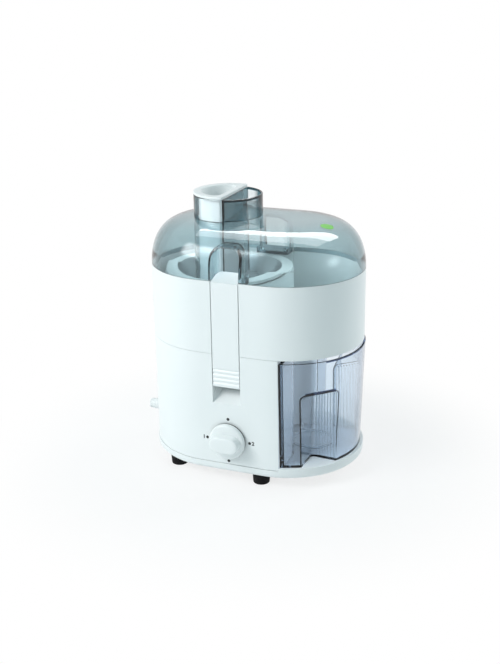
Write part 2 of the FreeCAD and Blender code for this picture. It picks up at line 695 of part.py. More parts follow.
def armature_windings():
    """The two wound ends of the armature."""
    bottom = on_shaft(WINDING_RADIUS, STATOR_BOTTOM - WINDING_BOTTOM_LENGTH, STATOR_BOTTOM)
    top = on_shaft(WINDING_RADIUS, STATOR_TOP, STATOR_TOP + WINDING_TOP_LENGTH)
    return Part.makeCompound([bottom, top])


def cooling_fan():
    """Radial fan: a plate, a hub and straight blades below the motor."""
    plate = post(FAN_RADIUS, FAN_TOP - FAN_PLATE, FAN_TOP, AXIS_X)
    hub = post(FAN_HUB_RADIUS, FAN_BOTTOM, FAN_TOP, AXIS_X)
    half = FAN_BLADE_WIDTH / 2
    blade = box(AXIS_X + FAN_HUB_RADIUS - half, AXIS_X + FAN_RADIUS - half, -half, half, FAN_BOTTOM, FAN_TOP)
    fan = fused(plate, [hub] + about_axis(blade, FAN_BLADES))
    return fan.cut(post(SHAFT_RADIUS + FIT / 2, FAN_BOTTOM, FAN_TOP, AXIS_X))


def lugged_bar(grow, z0, z1):
    """Round bar with driving lugs, grown by a gap to make its socket."""
    half = COUPLING_LUG_WIDTH / 2 + grow
    lug = box(AXIS_X, AXIS_X + COUPLING_RADIUS + COUPLING_LUG + grow, -half, half, z0, z1)
    return fused(post(COUPLING_RADIUS + grow, z0, z1, AXIS_X), about_axis(lug, COUPLING_LUGS))


def drive_coupling():
    """Lugged driver on the top of the spindle."""
    low = DECK_TOP + COUPLING_ABOVE_DECK
    driver = lugged_bar(0, low, low + COUPLING_HEIGHT)
    return driver.cut(post(SHAFT_RADIUS + FIT / 2, low, DECK_TOP + SHAFT_TOP_ABOVE_DECK, AXIS_X))


def cone_outline(offset):
    """Two (radius, height) points of the basket's wall, set off outwards."""
    low = (BASKET_FLOOR_RADIUS + offset, RIM - BASKET_FLOOR_BELOW_RIM + BASKET_FLOOR)
    high = (BASKET_RIM_RADIUS - BASKET_RIM_WIDTH + offset, RIM - BASKET_RIM_BELOW_RIM)
    return low, high


def basket_frame():
    """Moulded basket: floor, drive socket, splash skirt, ribs and the rim that carries the screen."""
    floor_low = RIM - BASKET_FLOOR_BELOW_RIM
    floor_high = floor_low + BASKET_FLOOR
    rim_top = RIM - BASKET_RIM_BELOW_RIM
    outer = SCREEN_THICKNESS + BASKET_RIB_DEPTH
    floor = post(BASKET_FLOOR_RADIUS + outer, floor_low, floor_high, AXIS_X)
    socket = post(SOCKET_RADIUS, floor_low - SOCKET_DEPTH, floor_high, AXIS_X)
    skirt = tube(BASKET_SKIRT_RADIUS, BASKET_SKIRT_RADIUS - BASKET_SKIRT_WALL,
                 floor_low - BASKET_SKIRT_DEPTH, floor_high, AXIS_X)
    low_in, high_in = cone_outline(SCREEN_THICKNESS + FIT)
    low_out, high_out = cone_outline(outer)
    shell = turned([low_in, low_out, high_out, high_in], AXIS_X)
    half = BASKET_RIB_WIDTH / 2
    slice_box = box(AXIS_X, AXIS_X + BASKET_RIM_RADIUS + outer, -half, half, floor_low, rim_top)
    ribs = shell.common(slice_box)
    rim = tube(BASKET_RIM_RADIUS, high_in[0], rim_top - BASKET_RIM_HEIGHT, rim_top, AXIS_X)
    frame = fused(floor, [socket, skirt, rim] + about_axis(ribs, BASKET_RIBS))
    inside = turned([(0, floor_high), low_in, high_in, (0, rim_top)], AXIS_X)
    coupling_top = DECK_TOP + COUPLING_ABOVE_DECK + COUPLING_HEIGHT
    return frame.cut([inside, lugged_bar(SOCKET_GAP, floor_low - SOCKET_DEPTH, coupling_top + SOCKET_GAP)])


def filter_screen():
    """Conical steel screen inside the ribs."""
    low_in, high_in = cone_outline(0)
    low_out, high_out = cone_outline(SCREEN_THICKNESS)
    return turned([low_in, low_out, high_out, high_in], AXIS_X)


def grater_disc():
    """Steel disc on the basket floor with rows of teeth."""
    low = RIM - BASKET_FLOOR_BELOW_RIM + BASKET_FLOOR
    disc = post(GRATER_RADIUS, low, GRATER_TOP, AXIS_X)
    teeth = []
    for index in range(GRATER_TEETH_PER_ROW):
        x = AXIS_X + GRATER_FIRST_TOOTH + index * GRATER_TOOTH_PITCH
        base = V(x, 0, GRATER_TOP - GRATER_THICKNESS / 2)
        tooth = Part.makeCone(GRATER_TOOTH_RADIUS, 0, GRATER_TOOTH_HEIGHT + GRATER_THICKNESS / 2, base)
        teeth += about_axis(tooth, GRATER_ROWS, index * 360.0 / GRATER_ROWS / GRATER_TEETH_PER_ROW)
    return fused(disc, teeth)


def dome_face(inset):
    """Half section of the dome: a full shoulder that flattens to the middle, moved inwards by a wall."""
    rim = BODY_RADIUS - inset
    rise = DOME_RISE - inset
    shares = [math.cos(0.5 * math.pi * step / DOME_STEPS) ** (2 / DOME_POWER) for step in range(DOME_STEPS)]
    shares += [shares[-1] * part / 3 for part in (2, 1, 0)]
    points = [V(0, -rim * share, RIM + rise * math.sqrt(1 - share ** DOME_POWER)) for share in shares]
    curve = Part.BSplineCurve()
    curve.interpolate(Points=points, InitialTangent=V(0, 0, 1), FinalTangent=V(0, 1, 0))
    edges = [curve.toShape(), line(points[-1], V(0, 0, RIM)), line(V(0, 0, RIM), points[0])]
    return Part.Face(Part.Wire(edges))


def dome(inset):
    """Whole dome: the half section run along the straight sides and turned round both ends."""
    half = BODY_HALF_STRAIGHT
    face = dome_face(inset)
    right = face.translated(V(half, 0, 0)).revolve(V(half, 0, 0), V(0, 0, 1), 180)
    left = face.translated(V(-half, 0, 0)).revolve(V(-half, 0, 0), V(0, 0, 1), -180)
    front = face.translated(V(-half, 0, 0)).extrude(V(2 * half, 0, 0))
    return fused(right, [left, front, mirrored(front)])


def d_shape(radius, chord, z0, z1):
    """Round bar on the spindle axis with its right side cut flat."""
    reach = math.sqrt(radius ** 2 - chord ** 2)
    a = V(AXIS_X + chord, reach, z0)
    b = V(AXIS_X + chord, -reach, z0)
    return raised([arc(a, V(AXIS_X - radius, 0, z0), b), line(b, a)], z1 - z0)


def latch_notch(grow, z0):
    """Space in the lid above the hook of the front latch, with round inner corners."""
    x0 = SLOT_X0 - grow
    x1 = SLOT_X1 + grow
    back = NOTCH_BACK + grow
    r = NOTCH_CORNER + grow
    front = -BODY_RADIUS - OVER
    s = r * (1 - math.sqrt(0.5))
    edges = [
        line(V(x0, front, z0), V(x1, front, z0)),
        line(V(x1, front, z0), V(x1, back - r, z0)),
        arc(V(x1, back - r, z0), V(x1 - s, back - s, z0), V(x1 - r, back, z0)),
        line(V(x1 - r, back, z0), V(x0 + r, back, z0)),
        arc(V(x0 + r, back, z0), V(x0 + s, back - s, z0), V(x0, back - r, z0)),
        line(V(x0, back - r, z0), V(x0, front, z0)),
    ]
    return raised(edges, CHUTE_RIM - z0)


def chute_seat():
    """Round opening in the top of the lid that the feed chute fills."""
    return post(CHUTE_RADIUS, FEED_BOTTOM, CHUTE_RIM, AXIS_X)


def feed_chute():
    """Clear collar with the D-shaped feed tube and a floor beside it, let into the top of the lid."""
    collar = tube(CHUTE_RADIUS, CHUTE_RADIUS - CHUTE_WALL, RIM + DOME_RISE - LID_WALL / 2, CHUTE_RIM, AXIS_X)
    feed = d_shape(CHUTE_RADIUS, CHUTE_CHORD, FEED_BOTTOM, CHUTE_RIM)
    floor = dome(0).cut(dome(LID_WALL)).common(chute_seat())
    hole = d_shape(CHUTE_RADIUS - CHUTE_WALL, CHUTE_CHORD - CHUTE_WALL, FEED_BOTTOM - OVER, CHUTE_RIM + OVER)
    return fused(collar, [feed, floor]).cut(hole)


def lid():
    """Clear domed lid with two latch notches and a locating lip, cut out for the feed chute."""
    full = dome(0)
    shell = full.cut(dome(LID_WALL))
    lip_outer = INNER_RADIUS - LIP_GAP
    lip_inner = lip_outer - LIP_WIDTH
    root = stadium(BODY_RADIUS - LID_WALL / 2, RIM, RIM + LIP_ROOT).cut(stadium(lip_inner, RIM, RIM + LIP_ROOT))
    lip_room = box(SLOT_X0 - WALL - LIP_GAP, SLOT_X1 + WALL + LIP_GAP, -BODY_RADIUS - OVER,
                   GROOVE_BACK + WALL + LIP_GAP, RIM - LIP_DEPTH - OVER, RIM)
    lip = stadium(lip_outer, RIM - LIP_DEPTH, RIM)
    lip = lip.cut([stadium(lip_inner, RIM - LIP_DEPTH, RIM)] + both_sides(lip_room))
    hoods = [full.common(hood) for hood in both_sides(latch_notch(LID_WALL, RIM))]
    ledge = box(SLOT_X0 - LID_WALL, SLOT_X1 + LID_WALL, GROOVE_BACK + LIP_GAP, NOTCH_BACK + LID_WALL,
                LEDGE_LOW, RIM + LID_WALL)
    shape = fused(shell, [root, lip] + hoods + both_sides(ledge))
    return shape.cut(both_sides(latch_notch(0, LEDGE_TOP)) + [chute_seat()])


def pusher():
    """Hollow D-shaped plunger with a flange that rests on the chute."""
    radius = CHUTE_RADIUS - CHUTE_WALL - PUSHER_GAP
    chord = CHUTE_CHORD - CHUTE_WALL - PUSHER_GAP
    top = CHUTE_RIM + PUSHER_FLANGE
    stem = d_shape(radius, chord, GRATER_TOP + PUSHER_ABOVE_GRATER, top)
    flange = d_shape(CHUTE_RADIUS, CHUTE_CHORD - PUSHER_FLANGE_STEP, CHUTE_RIM, top)
    bowl = d_shape(radius - PUSHER_WALL, chord - PUSHER_WALL, top - PUSHER_BOWL_DEPTH, top)
    return fused(stem, [flange]).cut(bowl)


def latch():
    """Rocker latch: a long plate with a round-cornered hook on top and a hinge barrel behind."""
    outline = [
        V(LATCH_X0, LATCH_FRONT, LATCH_BOTTOM), V(LATCH_X0, LATCH_FRONT, LATCH_TOP),
        V(LATCH_X0, HOOK_END, LATCH_TOP + HOOK_RISE), V(LATCH_X0, HOOK_END, HOOK_UNDER),
        V(LATCH_X0, LATCH_BACK, HOOK_UNDER), V(LATCH_X0, LATCH_BACK, LATCH_BOTTOM),
    ]
    plate = closed_face(outline).extrude(V(LATCH_WIDTH, 0, 0))
    plate = plate.common(latch_notch(-LATCH_SIDE_GAP, LATCH_BOTTOM - OVER))
    barrel = rod_x(BARREL_RADIUS, LATCH_X0, LATCH_X1, PIVOT_Y, PIVOT_Z)
    shape = fused(plate, [barrel])
    return shape.cut(rod_x(PIN_RADIUS + FIT, LATCH_X0, LATCH_X1, PIVOT_Y, PIVOT_Z))


def latch_pin():
    """Steel pin across the latch pocket."""
    return rod_x(PIN_RADIUS, SLOT_X0 - WALL, SLOT_X1 + WALL, PIVOT_Y, PIVOT_Z)


def rotary_switch():
    """Selector switch behind the front wall, with its neck through the wall."""
    front = -INNER_RADIUS
    half = SWITCH_WIDTH / 2
    tall = SWITCH_HEIGHT / 2
    body = box(KNOB_X - half, KNOB_X + half, front, front + SWITCH_DEPTH, KNOB_Z - tall, KNOB_Z + tall)
    neck = rod_y(SWITCH_NECK_RADIUS, -BODY_RADIUS - SWITCH_NUT_HEIGHT, front, KNOB_X, KNOB_Z)
    shape = fused(body, [neck])
    return shape.cut(rod_y(SPINDLE_RADIUS + FIT, -BODY_RADIUS - SWITCH_NUT_HEIGHT, front + SPINDLE_IN_SWITCH,
                           KNOB_X, KNOB_Z))


def switch_nut():
    """Flat ring nut on the switch neck, under the knob."""
    ring = rod_y(SWITCH_NUT_RADIUS, -BODY_RADIUS - SWITCH_NUT_HEIGHT, -BODY_RADIUS, KNOB_X, KNOB_Z)
    return ring.cut(rod_y(SWITCH_NECK_RADIUS + FIT / 2, -BODY_RADIUS - SWITCH_NUT_HEIGHT, -BODY_RADIUS,
                          KNOB_X, KNOB_Z))


def knob_back():
    """Plane of the knob's back, just off the front wall."""
    return -BODY_RADIUS - RUN_GAP


def switch_spindle():
    """Round spindle from inside the switch into the knob."""
    return rod_y(SPINDLE_RADIUS, knob_back() - SPINDLE_IN_KNOB, -INNER_RADIUS + SPINDLE_IN_SWITCH - FIT,
                 KNOB_X, KNOB_Z)


def selector_knob():
    """Round skirt with a raised grip bar, hollow behind for the nut."""
    back = knob_back()
    face = back - KNOB_SKIRT
    skirt = rod_y(KNOB_RADIUS, face, back, KNOB_X, KNOB_Z)
    end = KNOB_BAR_LENGTH / 2 - KNOB_BAR_WIDTH / 2
    top = face - KNOB_BAR_HEIGHT
    rounds = [rod_y(KNOB_BAR_WIDTH / 2, top, face, KNOB_X + side * end, KNOB_Z) for side in (-1, 1)]
    tall = KNOB_BAR_WIDTH / 2
    middle = box(KNOB_X - end, KNOB_X + end, top, face, KNOB_Z - tall, KNOB_Z + tall)
    shape = fused(skirt, rounds + [middle])
    hollow = rod_y(KNOB_HOLLOW_RADIUS, back - KNOB_HOLLOW_DEPTH, back, KNOB_X, KNOB_Z)
    bore = rod_y(SPINDLE_RADIUS + FIT / 2, back - SPINDLE_IN_KNOB, back, KNOB_X, KNOB_Z)
    return shape.cut([hollow, bore])


def cord_gland():
    """Bushing where the supply cord enters the left end."""
    outer_end = -BODY_HALF_STRAIGHT - BODY_RADIUS
    seat = -BODY_HALF_STRAIGHT - math.sqrt(INNER_RADIUS ** 2 - GLAND_FLANGE_RADIUS ** 2) + FIT
    inner_end = seat + GLAND_FLANGE
    tip = outer_end - GLAND_REACH
    outline = [
        (tip, GLAND_BORE), (tip, GLAND_TIP_RADIUS), (outer_end, GLAND_RADIUS), (seat, GLAND_RADIUS),
        (seat, GLAND_FLANGE_RADIUS), (inner_end, GLAND_FLANGE_RADIUS), (inner_end, GLAND_BORE),
    ]
    return turned_x(outline, GLAND_Z)


def cup_outline(inset, z, share):
    """Closed outline of the cup at one level; share runs from 0 at the foot to 1 at the brim."""
    radius = BODY_RADIUS + CUP_TOP_PROUD - CUP_DRAFT * (1 - share) - inset
    nose = CUP_NOSE_RADIUS - CUP_NOSE_DRAFT * (1 - share) - inset
    left = CUP_LEFT_X + inset
    centre = BODY_HALF_STRAIGHT
    wide = math.sqrt(radius ** 2 - (left - centre) ** 2)
    neck = math.sqrt(nose ** 2 - (CUP_NOSE_X - left) ** 2)
    edges = [
        arc(V(left, -wide, z), V(centre + radius, 0, z), V(left, wide, z)),
        line(V(left, wide, z), V(left, neck, z)),
        arc(V(left, neck, z), V(CUP_NOSE_X - nose, 0, z), V(left, -neck, z)),
        line(V(left, -neck, z), V(left, -wide, z)),
    ]
    return Part.Wire(edges)


def cup_body(inset, z0, top):
    """Tapered solid between two outlines of the cup."""
    share = (z0 - SHELF_TOP) / (top - SHELF_TOP)
    return Part.makeLoft([cup_outline(inset, z0, share), cup_outline(inset, top, 1)], True, True)


def grip_niche(grow):
    """Finger space in the front outer corner of the cup, its ceiling rising outwards, grown by the cup's wall."""
    far = BODY_RADIUS
    corner = V(NICHE_X - grow, -NICHE_Y + grow, SHELF_TOP)
    left = corner + V(-NICHE_SIDE_FLARE, -far, 0)
    right = corner + V(far, -NICHE_FACE_DRAFT, 0)
    outer = corner + V(far, -far, 0)
    prism = closed_face([corner, left, outer, right]).extrude(V(0, 0, DECK_TOP))
    inner = SHELF_TOP + NICHE_HEIGHT + grow
    rise = far * math.tan(math.radians(NICHE_CEILING_SLOPE))
    side = [V(-far, -far, 0), V(-far, -far, inner - rise), V(-far, far, inner + rise), V(-far, far, 0)]
    under = closed_face(side).extrude(V(2 * far, 0, 0))
    under.rotate(V(0, 0, 0), V(0, 0, 1), -135)
    under.translate(V(NICHE_X, -NICHE_Y, 0))
    niche = prism.common(under)
    boxes = [(edge, edge.BoundBox) for edge in niche.Edges]
    inner_edges = [edge for edge, b in boxes if b.XMin < corner.x + FIT and b.YMax > corner.y - FIT
                   and b.ZMax > SHELF_TOP + FIT]
    return niche.makeFillet(NICHE_ROUNDING + grow, inner_edges)


def juice_cup():
    """Clear cup with a round nose and a grip niche in each outer corner."""
    top = DECK_TOP - CUP_TOP_GAP
    room = cup_body(CUP_WALL, SHELF_TOP + CUP_FLOOR, top).cut(both_sides(grip_niche(CUP_WALL)))
    return cup_body(0, SHELF_TOP, top).cut(both_sides(grip_niche(0))).cut(room)


def main():
    os.makedirs("parts", exist_ok=True)
    save("base_tray", base_tray())
    for name, (x, y) in foot_places().items():
        save(name, foot(x, y))
    save("base_screws", base_screws())
    save("motor_housing", motor_housing())
    save("collector", collector())
    save("shaft_seal", shaft_seal())
    save("upper_bracket", upper_bracket())
    save("lower_bracket", lower_bracket())
    save("tie_screws", tie_screws())
    save("stator_core", stator_core())
    save("field_coils", field_coils())
    save("brush_holders", brush_holders())
    save("brushes", brushes())
    save("upper_bearing", bearing(UPPER_BEARING_BOTTOM))
    save("lower_bearing", bearing(LOWER_BEARING_BOTTOM))
    save("motor_mounts", motor_mounts())
    save("motor_screws", motor_screws())
    save("rotary_switch", rotary_switch())
    save("switch_nut", switch_nut())
    save("cord_gland", cord_gland())
    save("front_latch_pin", latch_pin())
    save("back_latch_pin", mirrored(latch_pin()))
    save("motor_shaft", motor_shaft())
    save("armature_core", on_shaft(ARMATURE_RADIUS, STATOR_BOTTOM, STATOR_TOP))
    save("armature_windings", armature_windings())
    save("commutator", on_shaft(COMMUTATOR_RADIUS, COMMUTATOR_BOTTOM, COMMUTATOR_TOP))
    save("cooling_fan", cooling_fan())
    save("drive_coupling", drive_coupling())
    save("basket_frame", basket_frame())
    save("filter_screen", filter_screen())
    save("grater_disc", grater_disc())
    save("lid", lid())
    save("feed_chute", feed_chute())
    save("pusher", pusher())
    save("front_latch", latch())
    save("back_latch", mirrored(latch()))
    save("selector_knob", selector_knob())
    save("switch_spindle", switch_spindle())
    save("juice_cup", juice_cup())


main()
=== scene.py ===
import bpy
import math
import bmesh
import numpy as np
from mathutils import Matrix, Vector


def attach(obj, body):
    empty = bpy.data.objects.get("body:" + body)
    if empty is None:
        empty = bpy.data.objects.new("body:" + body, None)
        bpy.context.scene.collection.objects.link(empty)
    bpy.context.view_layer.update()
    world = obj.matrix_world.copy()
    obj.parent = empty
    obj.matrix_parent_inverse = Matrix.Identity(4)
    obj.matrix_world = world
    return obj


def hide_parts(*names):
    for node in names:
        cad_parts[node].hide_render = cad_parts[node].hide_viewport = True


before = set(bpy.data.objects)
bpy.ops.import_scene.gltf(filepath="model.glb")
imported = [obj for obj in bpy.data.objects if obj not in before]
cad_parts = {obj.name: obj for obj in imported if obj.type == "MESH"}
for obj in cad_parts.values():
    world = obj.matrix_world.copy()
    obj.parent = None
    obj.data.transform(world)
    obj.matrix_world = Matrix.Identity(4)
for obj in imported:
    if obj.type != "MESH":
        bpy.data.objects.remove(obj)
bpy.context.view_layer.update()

# Sizes are in millimetres, with the table at zero, +X to the cup and -Y to the front
MM = 0.001
CLOSE = 1e-6

# A cut runs OVER past a wall, joined solids meet by SINK, and SHARP is the radius of a sharp corner
OVER = 2.0
SINK = 1.0
SHARP = 0.01
SHARP_ANGLE = 32.0

# Ways to combine two solids
JOIN = "UNION"
CUT = "DIFFERENCE"
COMMON = "INTERSECT"

# Points round circles, and steps along the body's arcs and sides
RIB_POINTS = 16
PIN_POINTS = 24
HOLE_POINTS = 32
BAR_POINTS = 40
DISC_POINTS = 48
POST_POINTS = 64
LARGE_POINTS = 72
FLOOR_POINTS = 96
WIDE_POINTS = 128
BODY_GRID = (48, 12)

# Body outline and the levels of its seams
BODY_R = 85.0
BODY_HALF = 36.0
WALL = 2.5
THIN_WALL = 2.0
INNER_R = BODY_R - WALL
OUTSIDE = -BODY_R - OVER
TRAY_LOW = 13.0
TRAY_TOP = 22.4
SHELF_TOP = 25.4
DECK_TOP = 150.8
DECK_LOW = 147.8
RIM = 232.0
EDGE = 0.7
TRAY_SEAM = 0.5
DECK_SEAM = 0.35

# Base tray and feet
TRAY_R = BODY_R + 0.85
TRAY_ROUND = 5.0
TRAY_BEND = 8
SHELF_GAP = 0.05
FOOT_LOW_R = 9.2
FOOT_TOP_R = 10.0
FOOT_STEPS = 4
FOOT_CORNERS = (SHARP, 1.2, 0.4, 0.2, 0.5, SHARP)
STUD_R = 3.0
STUD_TOP = 18.0
FOOT_REACH = 71.0
FOOT_TURN = math.radians(125.4)
FOOT_RIGHT_X = 29.0
VENTS = 9
VENT_PITCH = 7.0
VENT_WIDTH = 3.0
VENT_HALF = 22.0
WELL_R = 3.6
WELL_DEEP = 2.5
PAD_R = 6.0
SCREW_HOLE_R = 1.8
SCREW_PLACES = ((-105.79, 32.54), (10.0, 77.0))

# Spindle axis, juice bowl and spout
AXIS_X = -34.0
BOWL_R = 72.0
BOWL_TOP = RIM - 10.5
SLEEVE_R = 18.0
SLEEVE_TOP = DECK_TOP + 27.0
SPOUT_X = 29.0
SPOUT_R = 7.0
SPOUT_LOW = DECK_TOP - 2.2
SEAL_R = 10.05

# Latch, its slot and its pocket, on the front
LATCH_GAP = 1.0
LATCH_X0 = -20.5
LATCH_X1 = 10.0
SLOT_X0 = -21.5
SLOT_X1 = 11.0
LATCH_FRONT = -85.0
LATCH_BACK = -78.5
LATCH_LOW = 113.0
LATCH_TOP = 231.0
LATCH_SLANT = 1.2
LATCH_EDGE = 0.4
HOOK_END = -64.5
HOOK_TOP = 237.6
HOOK_LOW = 230.0
GROOVE_BACK = -77.7
PIVOT_Y = -77.0
PIVOT_Z = 138.0
BARREL_R = 4.5
PIN_HOLE_R = 1.55
FINGER_GROOVES = (134.4, 129.4, 124.4, 119.4)
GROOVE_DEEP = 1.7
GROOVE_STEP = 0.2
GROOVE_WIDE = 2.8
POCKET_BACK = -57.0
POCKET_FLOOR = 94.0
POCKET_SLOPE = 0.8
POCKET_KNEE = -70.0
CHEEK = 5.0
CHEEK_FULL = -73.0
CHEEK_INSET = 0.3
CHEEK_TIP = 0.05
CHEEK_SINK = 0.5

# Lid with its feed chute
LID_WALL = 2.5
LID_EDGE = 0.5
LID_ANGLE = 40.0
DOME_RISE = 52.0
DOME_POWER = 5.0
DOME_GRID = (64, 40)
DOME_ROWS = 40
CROWN_ROWS = 10
LIP_OUT = 82.2
LIP_IN = 81.0
LIP_LOW = RIM - 5.0
LIP_STEP = 1.0
LIP_ROOM_BACK = -74.9
LEDGE_TOP = 229.7
LEDGE_LOW = 226.8
LEDGE_SIDE = 2.8
LEDGE_GAP = 0.3
LEDGE_CUT = 0.5
NOTCH_BACK = -62.5
NOTCH_ROUND = 10.0
NOTCH_TOP = 266.0
NOTCH_ARCH = 11.0
NOTCH_STEPS = 10
HOOD_INSET = 0.4
CHUTE_R = 38.2
CHUTE_WALL = 2.4
CHUTE_CHORD = 9.8
CHUTE_CORNER = 0.6
CHUTE_TOP = 307.6
CHUTE_ROUND = 1.2
CHUTE_BEND = 6
CHUTE_ROOT = 282.6
POCKET_LOW = 284.2
FEED_LOW = 206.2
FEED_INSET = 0.02

# Pusher: edges are lists of (outwards, upwards) from a corner
PUSHER_R = 32.8
PUSHER_CHORD = 4.4
PUSHER_LOW = 211.2
PUSHER_TOP = 310.6
PUSHER_CORNER = 1.5
PUSHER_ROUND = 1.0
PUSHER_SOLE = 16.0
FLANGE_CHORD = 8.4
FLANGE_CORNER = 2.0
FLANGE_LOW_EDGE = ((-0.4, 0.0), (0.0, 0.5))
FLANGE_TOP_EDGE = ((0.0, -0.9), (-0.3, -0.3), (-1.0, 0.0))
BOWL_WALL = 4.0
BOWL_DEEP = 60.0
BOWL_CORNER = 7.0
BOWL_TOP_EDGE = ((1.8, 0.0), (0.6, -0.5), (0.0, -1.7))
BOWL_LOW_EDGE = ((-1.0, 8.0), (-3.5, 2.0), (-9.0, 0.0))

# Selector knob and its marks: the edge is (inwards, backwards), the bar's crown (share, backwards)
KNOB_X = -4.0
KNOB_Z = 51.4
KNOB_R = 20.5
KNOB_BACK = -85.4
NECK_FRONT = -87.6
# Black neck behind the skirt: painted shade round the knob's base
SHADOW_NECK_R = 20.1
KNOB_FACE = -92.4
KNOB_FRONT = -102.4
KNOB_EDGE = ((0.0, 2.0), (0.3, 1.1), (0.9, 0.4), (2.0, 0.0))
KNOB_SWELL = 0.4
BAR_LONG = 35.0
BAR_WIDE = 19.0
BAR_CAP_POINTS = 21
BAR_CROWN = ((0.97, 2.5), (0.93, 0.9), (0.85, 0.2), (0.7, 0.0), (0.3, 0.02))
KNOB_HOLLOW_R = 10.0
KNOB_HOLLOW = -89.0
SPINDLE_HOLE_R = 3.03
SPINDLE_END = -97.4
SWITCH_HOLE_R = 5.05
MARKS = 4
MARK_RING = 25.0
MARK_R = 1.7
NUMBER_RING = 29.0
NUMBER_SIZE = 6.0
NUMBER_BOLD = 0.22
PRINT = 0.08
PRINT_SINK = 0.05

# Cord gland
GLAND_Z = 42.0
GLAND_WALL_X = -121.0
GLAND_TIP_X = -140.5
GLAND_SEAT_X = -117.9
GLAND_INNER_X = -114.9
GLAND_R = 7.0
GLAND_GAP = 0.05
GLAND_TIP_R = 5.8
GLAND_FLANGE_R = 9.5
GLAND_BORE = 3.6
GLAND_EDGE = 0.6
GLAND_PLAIN = 3.0
GLAND_RIB_DEEP = 0.45
GLAND_RIB_PITCH = 3.2
GLAND_ROWS = 60

# Juice cup and its bay
CUP_LEFT = 54.0
CUP_NOSE_X = 60.0
CUP_NOSE_R = 41.0
CUP_WALL = 2.2
CUP_SIDE_WALL = 4.2
CUP_FILLET = 8.0
CUP_SEAT = 0.1
CUP_FLOOR = 2.6
CUP_TOP = 147.5
CUP_OPEN = 0.05
CUP_PROUD = 1.3
CUP_DRAFT = 4.0
CUP_NOSE_DRAFT = 1.2
CUP_GAP = 0.8
BAY_END = 130.0
CORNER_POINTS = 9
NOSE_POINTS = 49
CUP_POINTS = 97
NICHE_X = 77.5
NICHE_Y = 41.0
NICHE_TOP = 101.1
NICHE_ROUND = 4.0
NICHE_BEND = 7
NICHE_STEPS = 8
NICHE_SHARP = 0.05
NICHE_FAR = 85.0
NICHE_FLARE = 3.0
NICHE_DRAFT = 5.5
NICHE_SLOPE = math.tan(math.radians(20.0))
RIBS = 8
RIB_FIRST_X = 82.5
RIB_PITCH = 3.3
RIB_R = 1.1
RIB_LOW = 0.4
RIB_OVER = 0.8
CUP_RING_X = 67.0
CUP_RING_Y = -5.0
CUP_RING_R = 24.0
CUP_RING_WALL = 1.8
CUP_RING_TALL = 2.2
CUP_RING_SINK = 0.5

# Round label on the lid
DOT_X = 84.0
DOT_Y = -13.2
DOT_R = 7.0
DOT_MIDDLE = 0.02
DOT_ROWS = 12
DOT_LIFT = 0.14
DOT_SINK = 0.05

# Painted shade lines and painted light walls of the clear pieces: levels, places and shares of turning away
CLEAR_SKIN = 0.1
CLEAR_INDEX = 1.46
# Paler tint: painted light on the chute and notch walls
PAINTED_LIGHT_CLEAR = (0.90, 0.95, 0.96)
PAINTED_LIGHT_TOP = NOTCH_TOP - 0.2
# Power of turning away for the painted dark edges of the clear pieces
PAINTED_EDGE_POWER = 3.0
PAINTED_RIM_FADE = 0.4
PAINTED_COLLAR_SHADE = (0.36, 0.58)
PAINTED_LOW_SHADE = (RIM + 26.0, RIM + 3.0)
PAINTED_LOW_SHADE_POWER = 1.5
# Painted shade line on the cup above its front niche: heights over the ceiling, and its corner
NICHE_PAINTED_LINE = (-0.3, 3.4)
NICHE_PAINTED_LINE_X = NICHE_X + NICHE_ROUND - 1.0
NICHE_PAINTED_LINE_Y = -(NICHE_Y + NICHE_ROUND + 2.0)
LID_PAINTED_RIM = (AXIS_X + FLANGE_CHORD, CHUTE_TOP, 2.5)
CUP_PAINTED_RIM = (99.0, CUP_TOP, 1.5)

# Noise and gloss of the finishes, and relief in metres or as (strength, metres)
DRIFT_SCALE = 14.0
CLEAR_SCALE = 30.0
FINE_DETAIL = 4.0
METAL_DETAIL = 5.0
DRIFT_GLOSS = 0.08
GRAIN_GLOSS = 0.05
METAL_GLOSS = 0.15
LAYER_GLOSS = 0.1
SCREEN_GLOSS = 0.1
CLEAR_ROUGH = 0.01
CLEAR_GLOSS = 0.02
CLEAR_SHADOW = (0.98, 0.99, 1.0)
GRAIN_RELIEF = 0.0004
CLEAR_WAVES = (0.05, 0.001)
LAYER_LINES = (0.6, 0.0003)

# Holes of the filter screen: pitch in metres, number round, edge of a hole as a share of its cell
HOLE_PITCH = 0.0022
HOLES_ROUND = 150
HOLE_EDGE = (0.25, 0.32)

# Colour sockets of a mix node
MIX_LOW = 6
MIX_HIGH = 7
MIX_OUT = 2

# Lamps: place, aim and size in metres, power in watts, share of the side that fades out
LAMPS = {
    "key": ((-0.94, -1.04, 1.1), (0.0, 0.0, 0.15), (1.1, 1.1), 34.0, 0.3),
    "rim": ((1.0, 1.15, 0.7), (0.05, 0.0, 0.2), (0.8, 0.8), 9.0, 0.0),
    "bay": ((1.2, 0.1, 0.35), (0.06, 0.0, 0.09), (0.5, 0.5), 3.5, 0.0),
    "sky_back": ((0.05, 0.75, 1.25), (0.05, 0.75, 0.0), (1.3, 0.6), 24.0, 0.0),
    "sky_front": ((0.05, 0.2, 1.25), (0.05, 0.2, 0.0), (1.3, 0.5), 8.0, 0.0),
    "glint": ((1.6, 0.0, 0.65), (0.1, 0.0, 0.25), (1.0, 0.7), 10.0, 0.5),
}
FILL_LIGHT = {"Color": (0.74, 0.95, 1.0, 1.0), "Strength": 0.46}
WHITE_LIGHT = {"Color": (1.0, 1.0, 1.0, 1.0), "Strength": 1.0}

# Floor, with the reach of its shadow in metres
FLOOR_R = 3000.0
FLOOR_LEVELS = (-4.0, -0.02)
FLOOR_COLOUR = (0.97, 0.97, 0.97)
SHADOW_REACH = (0.16, 0.34)
SHADOW_SHARE = 0.25

# Camera: its angles, its lens in millimetres and its places in metres
VIEW_TURN = math.radians(21.39)
VIEW_RISE = math.radians(19.83)
VIEW_ROLL = math.radians(-0.71)
VIEW_LENS = 57.97
VIEW_SHIFT = (-0.0132, 0.0038)
VIEW_CENTRE = (0.0, 0.0, 0.1463)
VIEW_FAR = 1.21506

